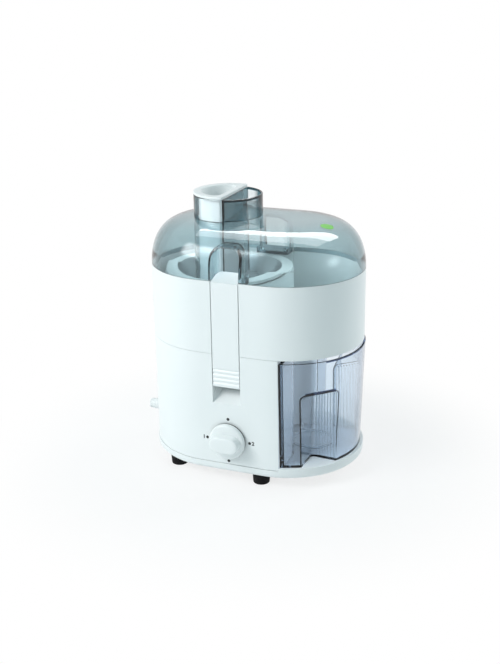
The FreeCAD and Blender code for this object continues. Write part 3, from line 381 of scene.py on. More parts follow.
# Finish of the pieces that keep their own shape
DRESSED = {
    "screw_steel": ("base_screws", "tie_screws", "motor_screws", "front_latch_pin", "back_latch_pin",
                    "switch_nut"),
    "seal_rubber": ("shaft_seal", "motor_mounts"),
    "bracket_metal": ("upper_bracket", "lower_bracket"),
    "bearing_steel": ("upper_bearing", "lower_bearing", "motor_shaft", "grater_disc"),
    "lamination": ("stator_core", "armature_core"),
    "copper_wire": ("field_coils", "armature_windings", "commutator"),
    "carbon": ("brushes",),
    "black_plastic": ("brush_holders", "rotary_switch", "cooling_fan", "drive_coupling", "switch_spindle"),
    "basket_white": ("basket_frame",),
    "screen_steel": ("filter_screen",),
}


def operator(operation):
    """Method of a wire that adds one Math node."""
    return lambda first, second=0.0: first.math(operation, first, second)


class Wire:
    """A node socket. Sums, products and comparisons of it become Math nodes in the same tree."""

    def __init__(self, tree, socket=None):
        self.tree = tree
        self.socket = socket

    def node(self, kind, settings=None, sockets=None, out=0):
        """Add a shader node, apply its settings, set or link its sockets and give one of its outputs."""
        made = self.tree.nodes.new("ShaderNode" + kind)
        for name, value in (settings or {}).items():
            setattr(made, name, value)
        for name, value in (sockets or {}).items():
            if isinstance(value, Wire):
                self.tree.links.new(value.socket, made.inputs[name])
            else:
                made.inputs[name].default_value = value
        return Wire(self.tree, made.outputs[out])

    def math(self, operation, first, second=0.0):
        """One Math node."""
        return self.node("Math", {"operation": operation}, {0: first, 1: second})

    def __rsub__(self, other):
        return self.math("SUBTRACT", other, self)

    __add__ = __radd__ = operator("ADD")
    __sub__ = operator("SUBTRACT")
    __mul__ = __rmul__ = operator("MULTIPLY")
    __truediv__ = operator("DIVIDE")
    __pow__ = operator("POWER")
    __lt__ = operator("LESS_THAN")
    __gt__ = operator("GREATER_THAN")
    __abs__ = operator("ABSOLUTE")


def larger(first, second):
    """The larger of two wires."""
    return first.math("MAXIMUM", first, second)


def ramp(value, ends, kind="LINEAR"):
    """Share that runs from 0 to 1 while a wire runs from one end to the other."""
    return value.node("MapRange", {"interpolation_type": kind},
                      {"Value": value, "From Min": ends[0], "From Max": ends[1]})


def place_of(bench):
    """Place on the piece in metres, as three wires."""
    place = bench.node("TexCoord", out="Object")
    return [bench.node("SeparateXYZ", sockets={0: place}, out=axis) for axis in "XYZ"]


def turned_away(bench):
    """Share by which the surface turns away from the view."""
    return bench.node("LayerWeight", sockets={"Blend": 0.5}, out="Facing")


def bench_of(owner):
    """Emptied node tree of a material, a lamp or the surround, as a bench for wires."""
    owner.use_nodes = True
    owner.node_tree.nodes.clear()
    return Wire(owner.node_tree)


def new_material(name):
    """Empty node material and its bench."""
    material = bpy.data.materials.new(name)
    return material, bench_of(material)


def shown(bench, shader, kind="Material"):
    """Link a shader to the surface of its tree's output, and give that output."""
    output = bench.tree.nodes.new("ShaderNodeOutput" + kind)
    bench.tree.links.new(shader.socket, output.inputs["Surface"])
    return output


def clouds(bench, scale, detail=2.0):
    """Smooth noise from 0 to 1 over the piece, by its place in metres."""
    place = bench.node("TexCoord", out="Object")
    return bench.node("TexNoise", sockets={"Vector": place, "Scale": scale, "Detail": detail})


def bumped(height, strength, distance):
    """Small relief from a wire's height."""
    sockets = {"Strength": strength, "Distance": distance, "Height": height}
    return height.node("Bump", sockets=sockets)


def covered(colour):
    """Colour as a socket takes it: a wire as it is, and three shares with full cover."""
    return colour if isinstance(colour, Wire) else (*colour, 1.0)


def between(bench, share, low, high):
    """Colour that runs from low to high with a share."""
    ends = {"Factor": share, MIX_LOW: covered(low), MIX_HIGH: covered(high)}
    return bench.node("Mix", {"data_type": "RGBA"}, ends, out=MIX_OUT)


def moulded(name, low, high, rough, grain, deep, gloss=0.5):
    """Moulded plastic or rubber: a broad drift of tone and gloss over a fine grain."""
    material, bench = new_material(name)
    drift = clouds(bench, DRIFT_SCALE)
    fine = clouds(bench, grain, FINE_DETAIL)
    shader = bench.node("BsdfPrincipled", sockets={
        "Base Color": between(bench, drift, low, high),
        "Roughness": rough + DRIFT_GLOSS * (drift - 0.5) + GRAIN_GLOSS * (fine - 0.5),
        "Specular IOR Level": gloss, "Normal": bumped(fine, deep, GRAIN_RELIEF)})
    shown(bench, shader)
    return material


def lid_painted_shares(across, along, height):
    """Painted shade share, on the collar's outline and the dome's lower edge; painted light share, a paler
    tint on chute and notches.
    """
    away = turned_away(height)
    reach = (across - AXIS_X * MM) ** 2.0 + along ** 2.0
    chute = reach < ((CHUTE_R + CLEAR_SKIN) * MM) ** 2
    aside = abs(across - 0.5 * (SLOT_X0 + SLOT_X1) * MM)
    wide = aside < (0.5 * (SLOT_X1 - SLOT_X0) + LID_WALL + CLEAR_SKIN) * MM
    back = wide * (abs(along) < (LID_WALL + CLEAR_SKIN - NOTCH_BACK) * MM)
    # Painted light: the chute and the walls round the notches take a paler tint
    pale = larger(chute, back * (height < PAINTED_LIGHT_TOP * MM))
    collar = chute * (height > CHUTE_ROOT * MM)
    # Painted shade: darker towards the dome's lower rim where it turns away, and on the collar's outline
    painted_low_shade = ramp(height / MM, PAINTED_LOW_SHADE) * (1 - pale)
    return larger(collar * ramp(away, PAINTED_COLLAR_SHADE), painted_low_shade * away ** PAINTED_LOW_SHADE_POWER), pale


def cup_painted_shares(across, along, height):
    """Painted shade share, a dark line on the thick edge above the front niche, and no painted light share.
    """
    above = height / MM - niche_height(across / MM, along / MM)
    level = (above > NICHE_PAINTED_LINE[0]) * (above < NICHE_PAINTED_LINE[1])
    return level * (along < NICHE_PAINTED_LINE_Y * MM) * (across > NICHE_PAINTED_LINE_X * MM), 0.0


def clear_plastic(name, clear, painted_dark, absorb, density, rim, shares):
    """Tinted clear plastic: it darkens with depth; where it turns away its colour runs to a dark one,
    partly for the longer path through the wall and partly as painted shade of dark surroundings seen in its
    edges; painted shade lines and a rim band darken it too, and a painted light share makes some walls
    pale.
    """
    material, bench = new_material(name)
    drift = clouds(bench, CLEAR_SCALE)
    across, along, height = place_of(bench)
    start, level, band = rim
    # Painted shade: a dark band just below the top rim, on the side beyond a given x
    painted_rim = (across > start * MM) * ramp(height / MM, (level - band - PAINTED_RIM_FADE, level - band))
    painted_lines, pale = shares(across, along, height)
    # Painted shade share: turning away, the rim band and the lines all run the colour to the dark one
    edge = larger(larger(turned_away(bench) ** PAINTED_EDGE_POWER, painted_rim), painted_lines)
    glass = bench.node("BsdfPrincipled", sockets={
        "Base Color": between(bench, edge, between(bench, pale, clear, PAINTED_LIGHT_CLEAR), painted_dark),
        "Roughness": CLEAR_ROUGH + CLEAR_GLOSS * drift, "IOR": CLEAR_INDEX,
        "Transmission Weight": 1.0, "Normal": bumped(drift, *CLEAR_WAVES)})
    passed = bench.node("BsdfTransparent", sockets={"Color": covered(CLEAR_SHADOW)})
    shadow = bench.node("LightPath", out="Is Shadow Ray")
    mixed = bench.node("MixShader", sockets={0: shadow, 1: glass, 2: passed})
    output = shown(bench, mixed)
    depth = {"Color": covered(absorb), "Density": density}
    inside = bench.node("VolumeAbsorption", sockets=depth)
    bench.tree.links.new(inside.socket, output.inputs["Volume"])
    return material


def metal(name, low, high, rough, scale):
    """Metal with a fine drift of tone and polish."""
    material, bench = new_material(name)
    drift = clouds(bench, scale, METAL_DETAIL)
    shader = bench.node("BsdfPrincipled", sockets={
        "Base Color": between(bench, drift, low, high), "Metallic": 1.0,
        "Roughness": rough + METAL_GLOSS * (drift - 0.5)})
    shown(bench, shader)
    return material


def layered(name, low, high, pitch, metallic, rough):
    """Stacked sheets or turns of wire: fine level lines at a pitch in metres."""
    material, bench = new_material(name)
    height = place_of(bench)[2]
    line = bench.math("PINGPONG", height / pitch, 1.0)
    shader = bench.node("BsdfPrincipled", sockets={
        "Base Color": between(bench, line, low, high), "Metallic": metallic,
        "Roughness": rough - LAYER_GLOSS * line, "Normal": bumped(line, *LAYER_LINES)})
    shown(bench, shader)
    return material


def perforated(name, low, high, rough, scale):
    """Thin steel with staggered rows of small round holes about the spindle axis."""
    material, bench = new_material(name)
    x, y, z = place_of(bench)
    turn = bench.math("ARCTAN2", y, x - AXIS_X * MM)
    row = z / HOLE_PITCH
    shift = 0.5 * bench.math("MODULO", bench.math("FLOOR", row), 2.0)
    cell = turn * (HOLES_ROUND / (2 * math.pi)) + shift + HOLES_ROUND
    across = bench.math("FRACT", cell) - 0.5
    along = bench.math("FRACT", row) - 0.5
    apart = bench.math("SQRT", across * across + along * along)
    drift = clouds(bench, scale, FINE_DETAIL)
    shader = bench.node("BsdfPrincipled", sockets={
        "Base Color": between(bench, drift, low, high), "Metallic": 1.0,
        "Roughness": rough + SCREEN_GLOSS * drift, "Alpha": ramp(apart, HOLE_EDGE)})
    shown(bench, shader)
    return material


def arc(x, y, radius, turn):
    """Points of a circle at given turns."""
    return np.stack([x + radius * np.cos(turn), y + radius * np.sin(turn)], 1)


def circle(radius, count=POST_POINTS, x=0.0, y=0.0):
    """Outline of a circle, counter-clockwise."""
    return arc(x, y, radius, np.linspace(0.0, 2 * math.pi, count, endpoint=False))


def stadium(radius, grid=BODY_GRID):
    """Outline of the body: two half circles and two straight sides, each cut into equal steps."""
    arcs, sides = grid
    turn = np.linspace(-0.5 * math.pi, 0.5 * math.pi, arcs + 1)
    right = arc(BODY_HALF, 0.0, radius, turn)
    run = np.linspace(BODY_HALF, -BODY_HALF, sides + 1)[1:-1]
    rear = np.stack([run, np.full_like(run, radius)], 1)
    half = np.concatenate([right, rear])
    return np.concatenate([half, -half])


def rectangle(x0, x1, y0, y1):
    """Outline of a rectangle, counter-clockwise."""
    return np.array([(x0, y0), (x1, y0), (x1, y1), (x0, y1)], float)


def rounded(corners, radii, steps):
    """Closed outline with each corner replaced by an arc that touches both of its sides."""
    at = np.asarray(corners, float)
    radius = np.asarray(radii, float)[:, None]
    before = np.roll(at, 1, 0) - at
    after = np.roll(at, -1, 0) - at
    before /= np.linalg.norm(before, axis=1, keepdims=True)
    after /= np.linalg.norm(after, axis=1, keepdims=True)
    half = 0.5 * np.arccos(np.clip((before * after).sum(1, keepdims=True), -1, 1))
    middle = before + after
    middle /= np.maximum(np.linalg.norm(middle, axis=1, keepdims=True), CLOSE)
    centre = at + middle * radius / np.sin(half)
    start = at + before * radius / np.tan(half) - centre
    end = at + after * radius / np.tan(half) - centre
    share = np.linspace(0, 1, steps + 1)[None, :, None]
    sweep = (math.pi - 2 * half)[:, None]
    blend = np.sin(np.maximum(sweep, CLOSE))
    bend = (np.sin((1 - share) * sweep) * start[:, None] + np.sin(share * sweep) * end[:, None]) / blend
    return (centre[:, None] + bend).reshape(-1, 2)


def loft(rings):
    """Closed surface over a stack of equal rings, quad rows between them and a flat cap at each end."""
    rings = np.asarray(rings, float)
    rows, count = rings.shape[:2]
    index = np.arange(rows * count).reshape(rows, count)
    near = index[:-1]
    far = index[1:]
    quads = np.stack([near, np.roll(near, -1, 1), np.roll(far, -1, 1), far], -1).reshape(-1, 4)
    return rings.reshape(-1, 3), quads.tolist() + [index[0, ::-1].tolist(), index[-1].tolist()]


def raised(outlines, heights):
    """Stack of level outlines lofted upwards: x and y from the outline, z from the height."""
    heights = np.asarray(heights, float)
    outlines = np.asarray(outlines, float)
    if outlines.ndim == 2:
        outlines = np.broadcast_to(outlines, (len(heights), *outlines.shape))
    level = np.broadcast_to(heights[:, None, None], (*outlines.shape[:2], 1))
    return loft(np.concatenate([outlines, level], 2))


def along_x(outline, places):
    """Outline in y and z carried along X."""
    points, faces = raised(outline, places)
    return points[:, [2, 0, 1]], faces


def along_y(outline, places):
    """Outline in z and x carried along Y."""
    points, faces = raised(outline, places)
    return points[:, [1, 2, 0]], faces


def slab(x0, x1, y0, y1, z0, z1):
    """Block between two corners."""
    return raised(rectangle(x0, x1, y0, y1), (z0, z1))


def slot_blocks(grow, y0, y1, z0, z1):
    """Block as wide as the latch's slot, grown at its sides, and its mirror image on the back."""
    return both(slab(SLOT_X0 - grow, SLOT_X1 + grow, y0, y1, z0, z1))


def post(radius, z0, z1, x=0.0, y=0.0, count=POST_POINTS):
    """Upright round bar."""
    return raised(circle(radius, count, x, y), (z0, z1))


def knob_bar(radius, places, count):
    """Round bar on the knob's axis."""
    return along_y(circle(radius, count, KNOB_Z, KNOB_X), places)


def pivot_bar(radius, places, count=PIN_POINTS):
    """Round bar on the front latch's hinge axis."""
    return along_x(circle(radius, count, PIVOT_Y, PIVOT_Z), places)


def gland_bar(radius, places, count=BAR_POINTS):
    """Round bar on the cord's axis."""
    return along_x(circle(radius, count, 0.0, GLAND_Z), places)


def turned(profile, x=0.0, y=0.0, count=POST_POINTS):
    """Profile of (radius, height) pairs turned about an upright axis."""
    radii, heights = np.asarray(profile, float).T
    return raised([circle(r, count, x, y) for r in radii], heights)


def round_the_body(profile, grid=BODY_GRID):
    """Profile of (radius, height) pairs carried round the body's outline."""
    radii, heights = np.asarray(profile, float).T
    return raised([stadium(r, grid) for r in radii], heights)


def mirrored(surface):
    """The same surface on the back, with its faces turned to stay outwards."""
    points, faces = surface
    return points * (1, -1, 1), [face[::-1] for face in faces]


def together(*surfaces):
    """Several surfaces as one list of points and faces."""
    points = []
    faces = []
    start = 0
    for some_points, some_faces in surfaces:
        points.append(some_points)
        faces += [[index + start for index in face] for face in some_faces]
        start += len(some_points)
    return np.concatenate(points), faces


def both(surface):
    """A surface and its mirror image on the back."""
    return together(surface, mirrored(surface))


def mesh_of(name, surface):
    """Mesh in metres with its doubles merged and its faces turned outwards."""
    points, faces = surface
    mesh = bpy.data.meshes.new(name)
    mesh.from_pydata((points * MM).tolist(), [], faces)
    work = bmesh.new()
    work.from_mesh(mesh)
    bmesh.ops.remove_doubles(work, verts=work.verts, dist=CLOSE)
    bmesh.ops.dissolve_degenerate(work, edges=work.edges, dist=CLOSE)
    bmesh.ops.recalc_face_normals(work, faces=work.faces)
    work.to_mesh(mesh)
    work.free()
    return mesh


def surface_of(mesh):
    """Points and faces of a mesh, in the mesh's own units."""
    points = np.empty(len(mesh.vertices) * 3)
    mesh.vertices.foreach_get("co", points)
    return points.reshape(-1, 3), [list(face.vertices) for face in mesh.polygons]


def placed(name, data):
    """New object in the scene."""
    item = bpy.data.objects.new(name, data)
    bpy.context.scene.collection.objects.link(item)
    return item


def combined(first, *steps):
    """One surface from a solid and steps of (way, solid), joined, cut or kept in common in turn."""
    made = [placed("solid", mesh_of("solid", first))]
    for way, surface in steps:
        made.append(placed("tool", mesh_of("tool", surface)))
        tool = made[0].modifiers.new(way, "BOOLEAN")
        tool.operation = way
        tool.solver = "MANIFOLD"
        tool.object = made[-1]
    ready = made[0].evaluated_get(bpy.context.evaluated_depsgraph_get())
    points, faces = surface_of(bpy.data.meshes.new_from_object(ready))
    for item in made:
        bpy.data.objects.remove(item)
    return points / MM, faces


def piece(name, surface, body, finish, nodes=(), bevel=0.0, angle=SHARP_ANGLE):
    """Put a surface into the scene: smooth faces, soft edges, its finish, its body and its nodes."""
    mesh = mesh_of(name, surface)
    mesh.polygons.foreach_set("use_smooth", [True] * len(mesh.polygons))
    mesh.set_sharp_from_angle(angle=math.radians(angle))
    mesh.materials.append(FINISHES[finish])
    item = placed(name, mesh)
    if bevel:
        soft = item.modifiers.new("soft_edges", "BEVEL")
        soft.width = bevel * MM
        soft.segments = 2
        soft.limit_method = "ANGLE"
        soft.angle_limit = math.radians(angle)
        soft.harden_normals = True
    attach(item, body)
    if nodes:
        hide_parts(*nodes)
    return item


def notch_outline(grow):
    """Plan of the space above the hook: straight sides, a straight back and round inner corners."""
    corner = NOTCH_ROUND + grow
    plan = rectangle(SLOT_X0 - grow, SLOT_X1 + grow, OUTSIDE, NOTCH_BACK + grow)
    return rounded(plan, (SHARP, SHARP, corner, corner), NOTCH_STEPS)


def notch_space(grow):
    """Space above the hook: its plan raised to an arched top."""
    low = LEDGE_TOP if grow == 0 else RIM
    high = NOTCH_TOP + grow
    left = SLOT_X0 - grow
    right = SLOT_X1 + grow
    corner = NOTCH_ARCH + grow
    arch = rounded([(low, left), (high, left), (high, right), (low, right)],
                   (SHARP, corner, corner, SHARP), NOTCH_STEPS)
    return combined(raised(notch_outline(grow), (low, high)),
                    (COMMON, along_y(arch, (OUTSIDE - OVER, -BODY_HALF))))


def bay_edge(left, nose, fillet):
    """Left edge of the cup's bay, front to back: flat wings, a round nose and a fillet in each corner."""
    x = left - fillet
    y = math.sqrt((nose + fillet) ** 2 - (CUP_NOSE_X - x) ** 2)
    lean = math.atan2(y, CUP_NOSE_X - x)
    corner = np.linspace(0.0, lean, CORNER_POINTS)
    front = arc(x, -y, fillet, corner)
    sweep = np.linspace(lean, -lean, NOSE_POINTS)[1:-1]
    middle = arc(CUP_NOSE_X, 0.0, -nose, sweep)
    return np.concatenate([front, middle, front[::-1] * (1, -1)])


def alcove(grow, z0):
    """Space that the cup slides into: the bay's edge closed by a wide block, grown by a wall or a gap."""
    room = CUP_GAP + grow
    left = CUP_LEFT - room
    wide = BODY_R + OVER
    edge = bay_edge(left, CUP_NOSE_R + room, CUP_FILLET - room)
    corners = [(left, wide), (BAY_END, wide), (BAY_END, -wide), (left, -wide)]
    return raised(np.concatenate([edge, corners])[::-1], (z0, DECK_TOP + OVER))


def pocket_height(y):
    """Height of the finger pocket's floor: a straight climb from the front up to the knee."""
    return POCKET_FLOOR + POCKET_SLOPE * (min(y, POCKET_KNEE) + BODY_R)


def latch_pocket(grow):
    """Finger space behind the lower end of the front latch: a side outline over the climbing floor."""
    back = POCKET_BACK + grow
    top = DECK_TOP + OVER
    outline = [(y, pocket_height(y) - grow) for y in (OUTSIDE, POCKET_KNEE, back)]
    outline += [(back, top), (OUTSIDE, top)]
    return along_x(np.array(outline), (SLOT_X0 - grow, SLOT_X1 + grow))


def pocket_cheeks():
    """Slanted corners of the pocket: a triangle along each side of the floor that grows inwards."""
    stations = ((-BODY_R + CHEEK_INSET, CHEEK_TIP), (CHEEK_FULL, CHEEK), (POCKET_KNEE, CHEEK),
                (POCKET_BACK + CHEEK_SINK, CHEEK))
    cheeks = []
    for wall, way in ((SLOT_X0, 1), (SLOT_X1, -1)):
        outer = wall - CHEEK_SINK * way
        rings = []
        for y, size in stations:
            inner = wall + size * way
            z = pocket_height(y)
            low = z - CHEEK_SINK
            rings.append([(outer, y, low), (inner, y, low), (inner, y, z), (outer, y, z + size)])
        cheeks.append(loft(rings))
    return together(*cheeks)


def base_tray():
    """Shallow pan: a round-edged profile carried round the body, with shelf, screw wells and air slots."""
    turn = np.linspace(-0.5 * math.pi, 0.0, TRAY_BEND)
    low_edge = arc(TRAY_R - TRAY_ROUND, TRAY_LOW + TRAY_ROUND, TRAY_ROUND, turn)
    floor_top = TRAY_LOW + WALL
    inside = [(TRAY_R, TRAY_TOP), (TRAY_R - WALL, TRAY_TOP), (TRAY_R - WALL, floor_top)]
    pan = round_the_body(np.concatenate([low_edge, inside]))
    shelf = combined(raised(stadium(TRAY_R), (TRAY_TOP - WALL, SHELF_TOP)),
                     (COMMON, alcove(-SHELF_GAP, floor_top)))
    half = VENT_WIDTH / 2
    places = AXIS_X + (np.arange(VENTS) - (VENTS - 1) / 2) * VENT_PITCH
    levels = (TRAY_LOW - OVER, floor_top + OVER)
    cuts = [slab(x - half, x + half, -VENT_HALF, VENT_HALF, *levels) for x in places]
    pads = []
    for x, y in SCREW_PLACES:
        pads.append(both(post(PAD_R, floor_top - SINK, floor_top + WELL_DEEP, x, -y, BAR_POINTS)))
        well = [(WELL_R, TRAY_LOW - OVER), (WELL_R, floor_top), (SCREW_HOLE_R, floor_top),
                (SCREW_HOLE_R, floor_top + WELL_DEEP + OVER)]
        cuts.append(both(turned(well, x, -y, BAR_POINTS)))
    surface = combined(pan, (JOIN, shelf), (JOIN, together(*pads)), (CUT, together(*cuts)))
    piece("tray_pan", surface, "base", "white_body", ("base_tray",), EDGE)


def feet():
    """Four rubber feet: a round-edged tapered profile turned about each foot's axis."""
    corners = [(0.0, 0.0), (FOOT_LOW_R, 0.0), (FOOT_TOP_R, TRAY_LOW), (STUD_R, TRAY_LOW),
               (STUD_R, STUD_TOP), (0.0, STUD_TOP)]
    profile = rounded(corners, FOOT_CORNERS, FOOT_STEPS)
    profile[:, 0] = np.maximum(profile[:, 0], 0.0)
    left_x = -BODY_HALF + FOOT_REACH * math.cos(FOOT_TURN)
    left_y = FOOT_REACH * math.sin(FOOT_TURN)
    for end, x, y in (("left", left_x, left_y), ("right", FOOT_RIGHT_X, FOOT_REACH)):
        for row, way in (("rear", 1), ("front", -1)):
            name = "foot_%s_%s" % (row, end)
            piece("rubber_" + name, turned(profile, x, way * y), "base", "foot_rubber", (name,))


def motor_housing():
    """Lower shell: the body's outline raised from tray to deck, hollow, with alcove and latch pockets."""
    block = raised(stadium(BODY_R), (TRAY_TOP + TRAY_SEAM, DECK_TOP))
    room = combined(raised(stadium(INNER_R), (TRAY_TOP - OVER, DECK_LOW)), (CUT, alcove(WALL, 0.0)),
                    (CUT, both(latch_pocket(WALL))))
    switch_hole = knob_bar(SWITCH_HOLE_R, (OUTSIDE, -INNER_R + OVER), HOLE_POINTS)
    gland_ends = (GLAND_WALL_X - OVER, GLAND_WALL_X + WALL + OVER)
    gland_hole = gland_bar(GLAND_R + GLAND_GAP, gland_ends, HOLE_POINTS)
    seal_hole = post(SEAL_R, DECK_LOW - OVER, DECK_TOP + OVER, AXIS_X)
    pins = pivot_bar(PIN_HOLE_R, (SLOT_X0 - WALL, SLOT_X1 + WALL))
    surface = combined(block, (CUT, room), (CUT, alcove(0.0, 0.0)), (CUT, both(latch_pocket(0.0))),
                       (CUT, seal_hole), (CUT, together(switch_hole, gland_hole)), (CUT, both(pins)),
                       (JOIN, both(pocket_cheeks())))
    return piece("lower_housing", surface, "base", "white_body", ("motor_housing",), EDGE)


def collector():
    """Upper housing: a pan profile carried round the body, with bowl, sleeve, spout and latch grooves."""
    floor_top = DECK_TOP + WALL
    low = DECK_TOP + DECK_SEAM
    pan = round_the_body([(BODY_R, low), (BODY_R, RIM), (INNER_R, RIM), (INNER_R, floor_top)])
    backs = slot_blocks(WALL, -INNER_R - SINK, GROOVE_BACK + WALL, DECK_TOP, RIM)
    bowl_in = BOWL_R - THIN_WALL
    bowl_rows = [(BOWL_R, DECK_TOP), (BOWL_R, BOWL_TOP), (bowl_in, BOWL_TOP), (bowl_in, floor_top)]
    bowl = turned(bowl_rows, AXIS_X, count=WIDE_POINTS)
    sleeve = post(SLEEVE_R, DECK_TOP, SLEEVE_TOP, AXIS_X)
    spout = post(SPOUT_R, SPOUT_LOW, floor_top, SPOUT_X)
    grooves = slot_blocks(0.0, OUTSIDE, GROOVE_BACK, DECK_TOP - OVER, RIM + OVER)
    ledge_rooms = slot_blocks(LEDGE_SIDE, GROOVE_BACK - LEDGE_CUT, NOTCH_BACK,
                              LEDGE_LOW - LEDGE_GAP, RIM + OVER)
    bores = together(post(SLEEVE_R - THIN_WALL, DECK_TOP - OVER, SLEEVE_TOP + OVER, AXIS_X),
                     post(SPOUT_R - THIN_WALL, SPOUT_LOW - OVER, floor_top + OVER, SPOUT_X))
    surface = combined(pan, (JOIN, backs), (JOIN, bowl), (JOIN, together(sleeve, spout)),
                       (CUT, grooves), (CUT, ledge_rooms), (CUT, bores))
    piece("upper_housing", surface, "base", "white_body", ("collector",), EDGE)


def dome_height(radius, inset):
    """Height of the dome: its rise times the root of one minus a high power of the share outwards."""
    out = np.clip(radius / (BODY_R - inset), 0.0, 1.0)
    return (DOME_RISE - inset) * np.sqrt(1 - out ** DOME_POWER)


def dome_profile(inset):
    """Profile of the dome from its rim to its middle, evenly spaced in turn over the shoulder."""
    turn = np.linspace(0.0, 0.5 * math.pi, DOME_ROWS)[:-1]
    shoulder = (BODY_R - inset) * np.cos(turn) ** (2 / DOME_POWER)
    radius = np.concatenate([shoulder, np.linspace(shoulder[-1], 0.0, CROWN_ROWS)[1:]])
    return np.stack([radius, RIM + dome_height(radius, inset)], 1)


def d_outline(radius, chord, corner):
    """Plan of a round bar about the spindle axis with its right side flat and round corners."""
    reach = math.sqrt(max((radius - corner) ** 2 - (chord - corner) ** 2, 0.0))
    lean = math.atan2(reach, chord - corner)
    big = np.linspace(lean, 2 * math.pi - lean, LARGE_POINTS)
    small = np.linspace(0.0, lean, CORNER_POINTS)[:-1]
    left = arc(AXIS_X, 0.0, radius, big)
    top = arc(AXIS_X + chord - corner, reach, corner, small)
    low = top[::-1] * (1, -1)
    return np.concatenate([left, low, top])


def lid():
    """Clear lid: the dome's profile with its lip carried round the body, notch hoods and the feed chute."""
    inner = dome_profile(LID_WALL)
    inner = inner[inner[:, 0] < LIP_IN]
    lip = [(LIP_IN, inner[0, 1] - LIP_STEP), (LIP_IN, LIP_LOW), (LIP_OUT, LIP_LOW), (LIP_OUT, RIM)]
    shell = round_the_body(np.concatenate([inner[::-1], lip, dome_profile(0.0)]), DOME_GRID)
    hood = combined(both(notch_space(LID_WALL)),
                    (COMMON, round_the_body(dome_profile(HOOD_INSET), DOME_GRID)))
    ledges = slot_blocks(LID_WALL, GROOVE_BACK + LEDGE_GAP, NOTCH_BACK + LID_WALL,
                         LEDGE_LOW, RIM + LID_WALL)
    lip_rooms = slot_blocks(LEDGE_SIDE, OUTSIDE, LIP_ROOM_BACK, LIP_LOW - OVER, RIM)
    bend = np.linspace(0.0, 0.5 * math.pi, CHUTE_BEND)
    round_in = CHUTE_ROUND * (1 - np.cos(bend))
    round_up = CHUTE_TOP - CHUTE_ROUND * (1 - np.sin(bend))
    chute = turned([(CHUTE_R, CHUTE_ROOT), *zip(CHUTE_R - round_in, round_up)], AXIS_X, count=WIDE_POINTS)
    feed = raised(d_outline(CHUTE_R - FEED_INSET, CHUTE_CHORD, CHUTE_CORNER), (FEED_LOW, CHUTE_ROOT + SINK))
    bore_r = CHUTE_R - CHUTE_WALL
    inside = d_outline(bore_r, CHUTE_CHORD - CHUTE_WALL, CHUTE_CORNER)
    feed_hole = raised(inside, (FEED_LOW - OVER, CHUTE_TOP + OVER))
    mouth = [*zip(bore_r + round_in, round_up), (bore_r + CHUTE_ROUND, CHUTE_TOP + OVER)]
    bore = turned([(bore_r, POCKET_LOW), *mouth], AXIS_X, count=WIDE_POINTS)
    wide = 2 * CHUTE_R
    left_part = slab(AXIS_X - wide, AXIS_X + CHUTE_CHORD, -wide, wide, FEED_LOW, CHUTE_TOP + 2 * OVER)
    side = combined(bore, (CUT, left_part))
    surface = combined(shell, (CUT, lip_rooms), (JOIN, hood), (JOIN, ledges), (JOIN, chute),
                       (JOIN, feed), (CUT, both(notch_space(0.0))), (CUT, feed_hole), (CUT, side))
    return piece("lid_dome", surface, "lid", "lid_clear", ("lid", "feed_chute"), LID_EDGE, LID_ANGLE)


def pusher():
    """Hollow plunger: one profile of insets and heights carried round its flat-sided plan."""
    flange = CHUTE_R - PUSHER_R
    step = FLANGE_CHORD - PUSHER_CHORD
    profile = [(-PUSHER_SOLE, PUSHER_LOW, FLANGE_CORNER), (-PUSHER_ROUND, PUSHER_LOW, PUSHER_CORNER),
               (0.0, PUSHER_LOW + PUSHER_ROUND, PUSHER_CORNER), (0.0, CHUTE_TOP, PUSHER_CORNER)]
    edges = ((flange, CHUTE_TOP, FLANGE_CORNER, FLANGE_LOW_EDGE),
             (flange, PUSHER_TOP, FLANGE_CORNER, FLANGE_TOP_EDGE),
             (-BOWL_WALL, PUSHER_TOP, BOWL_CORNER, BOWL_TOP_EDGE),
             (-BOWL_WALL, PUSHER_TOP - BOWL_DEEP, BOWL_CORNER, BOWL_LOW_EDGE))
    for side, level, corner, edge in edges:
        profile += [(side + out, level + up, corner) for out, up in edge]
    grows, levels, corners = zip(*profile)
    plans = [d_outline(PUSHER_R + grow, PUSHER_CHORD + min(grow, step), corner)
             for grow, corner in zip(grows, corners)]
    piece("plunger", raised(plans, levels), "pusher", "white_body", ("pusher",))


def latch(side, name):
    """Rocker latch: one side outline with finger grooves and hook carried across it, and a hinge barrel."""
    outline = [(LATCH_FRONT + LATCH_SLANT, LATCH_LOW), (LATCH_BACK, LATCH_LOW), (LATCH_BACK, HOOK_LOW),
               (HOOK_END, HOOK_LOW), (HOOK_END, HOOK_TOP), (LATCH_FRONT, LATCH_TOP)]
    for z in FINGER_GROOVES:
        deep = (LATCH_FRONT + GROOVE_DEEP, z - GROOVE_STEP)
        outline += [(LATCH_FRONT, z), deep, (LATCH_FRONT, z - GROOVE_WIDE)]
    outline.append((LATCH_FRONT, LATCH_LOW + LATCH_SLANT))
    plate = combined(along_x(np.array(outline), (LATCH_X0, LATCH_X1)),
                     (COMMON, raised(notch_outline(-LATCH_GAP), (LATCH_LOW - OVER, HOOK_TOP + OVER))))
    barrel = pivot_bar(BARREL_R, (LATCH_X0, LATCH_X1), BAR_POINTS)
    bore = pivot_bar(PIN_HOLE_R, (LATCH_X0 - OVER, LATCH_X1 + OVER))
    surface = combined(plate, (JOIN, barrel), (CUT, bore))
    if side > 0:
        surface = mirrored(surface)
    piece(name + "_plate", surface, name, "white_latch", (name,), LATCH_EDGE)


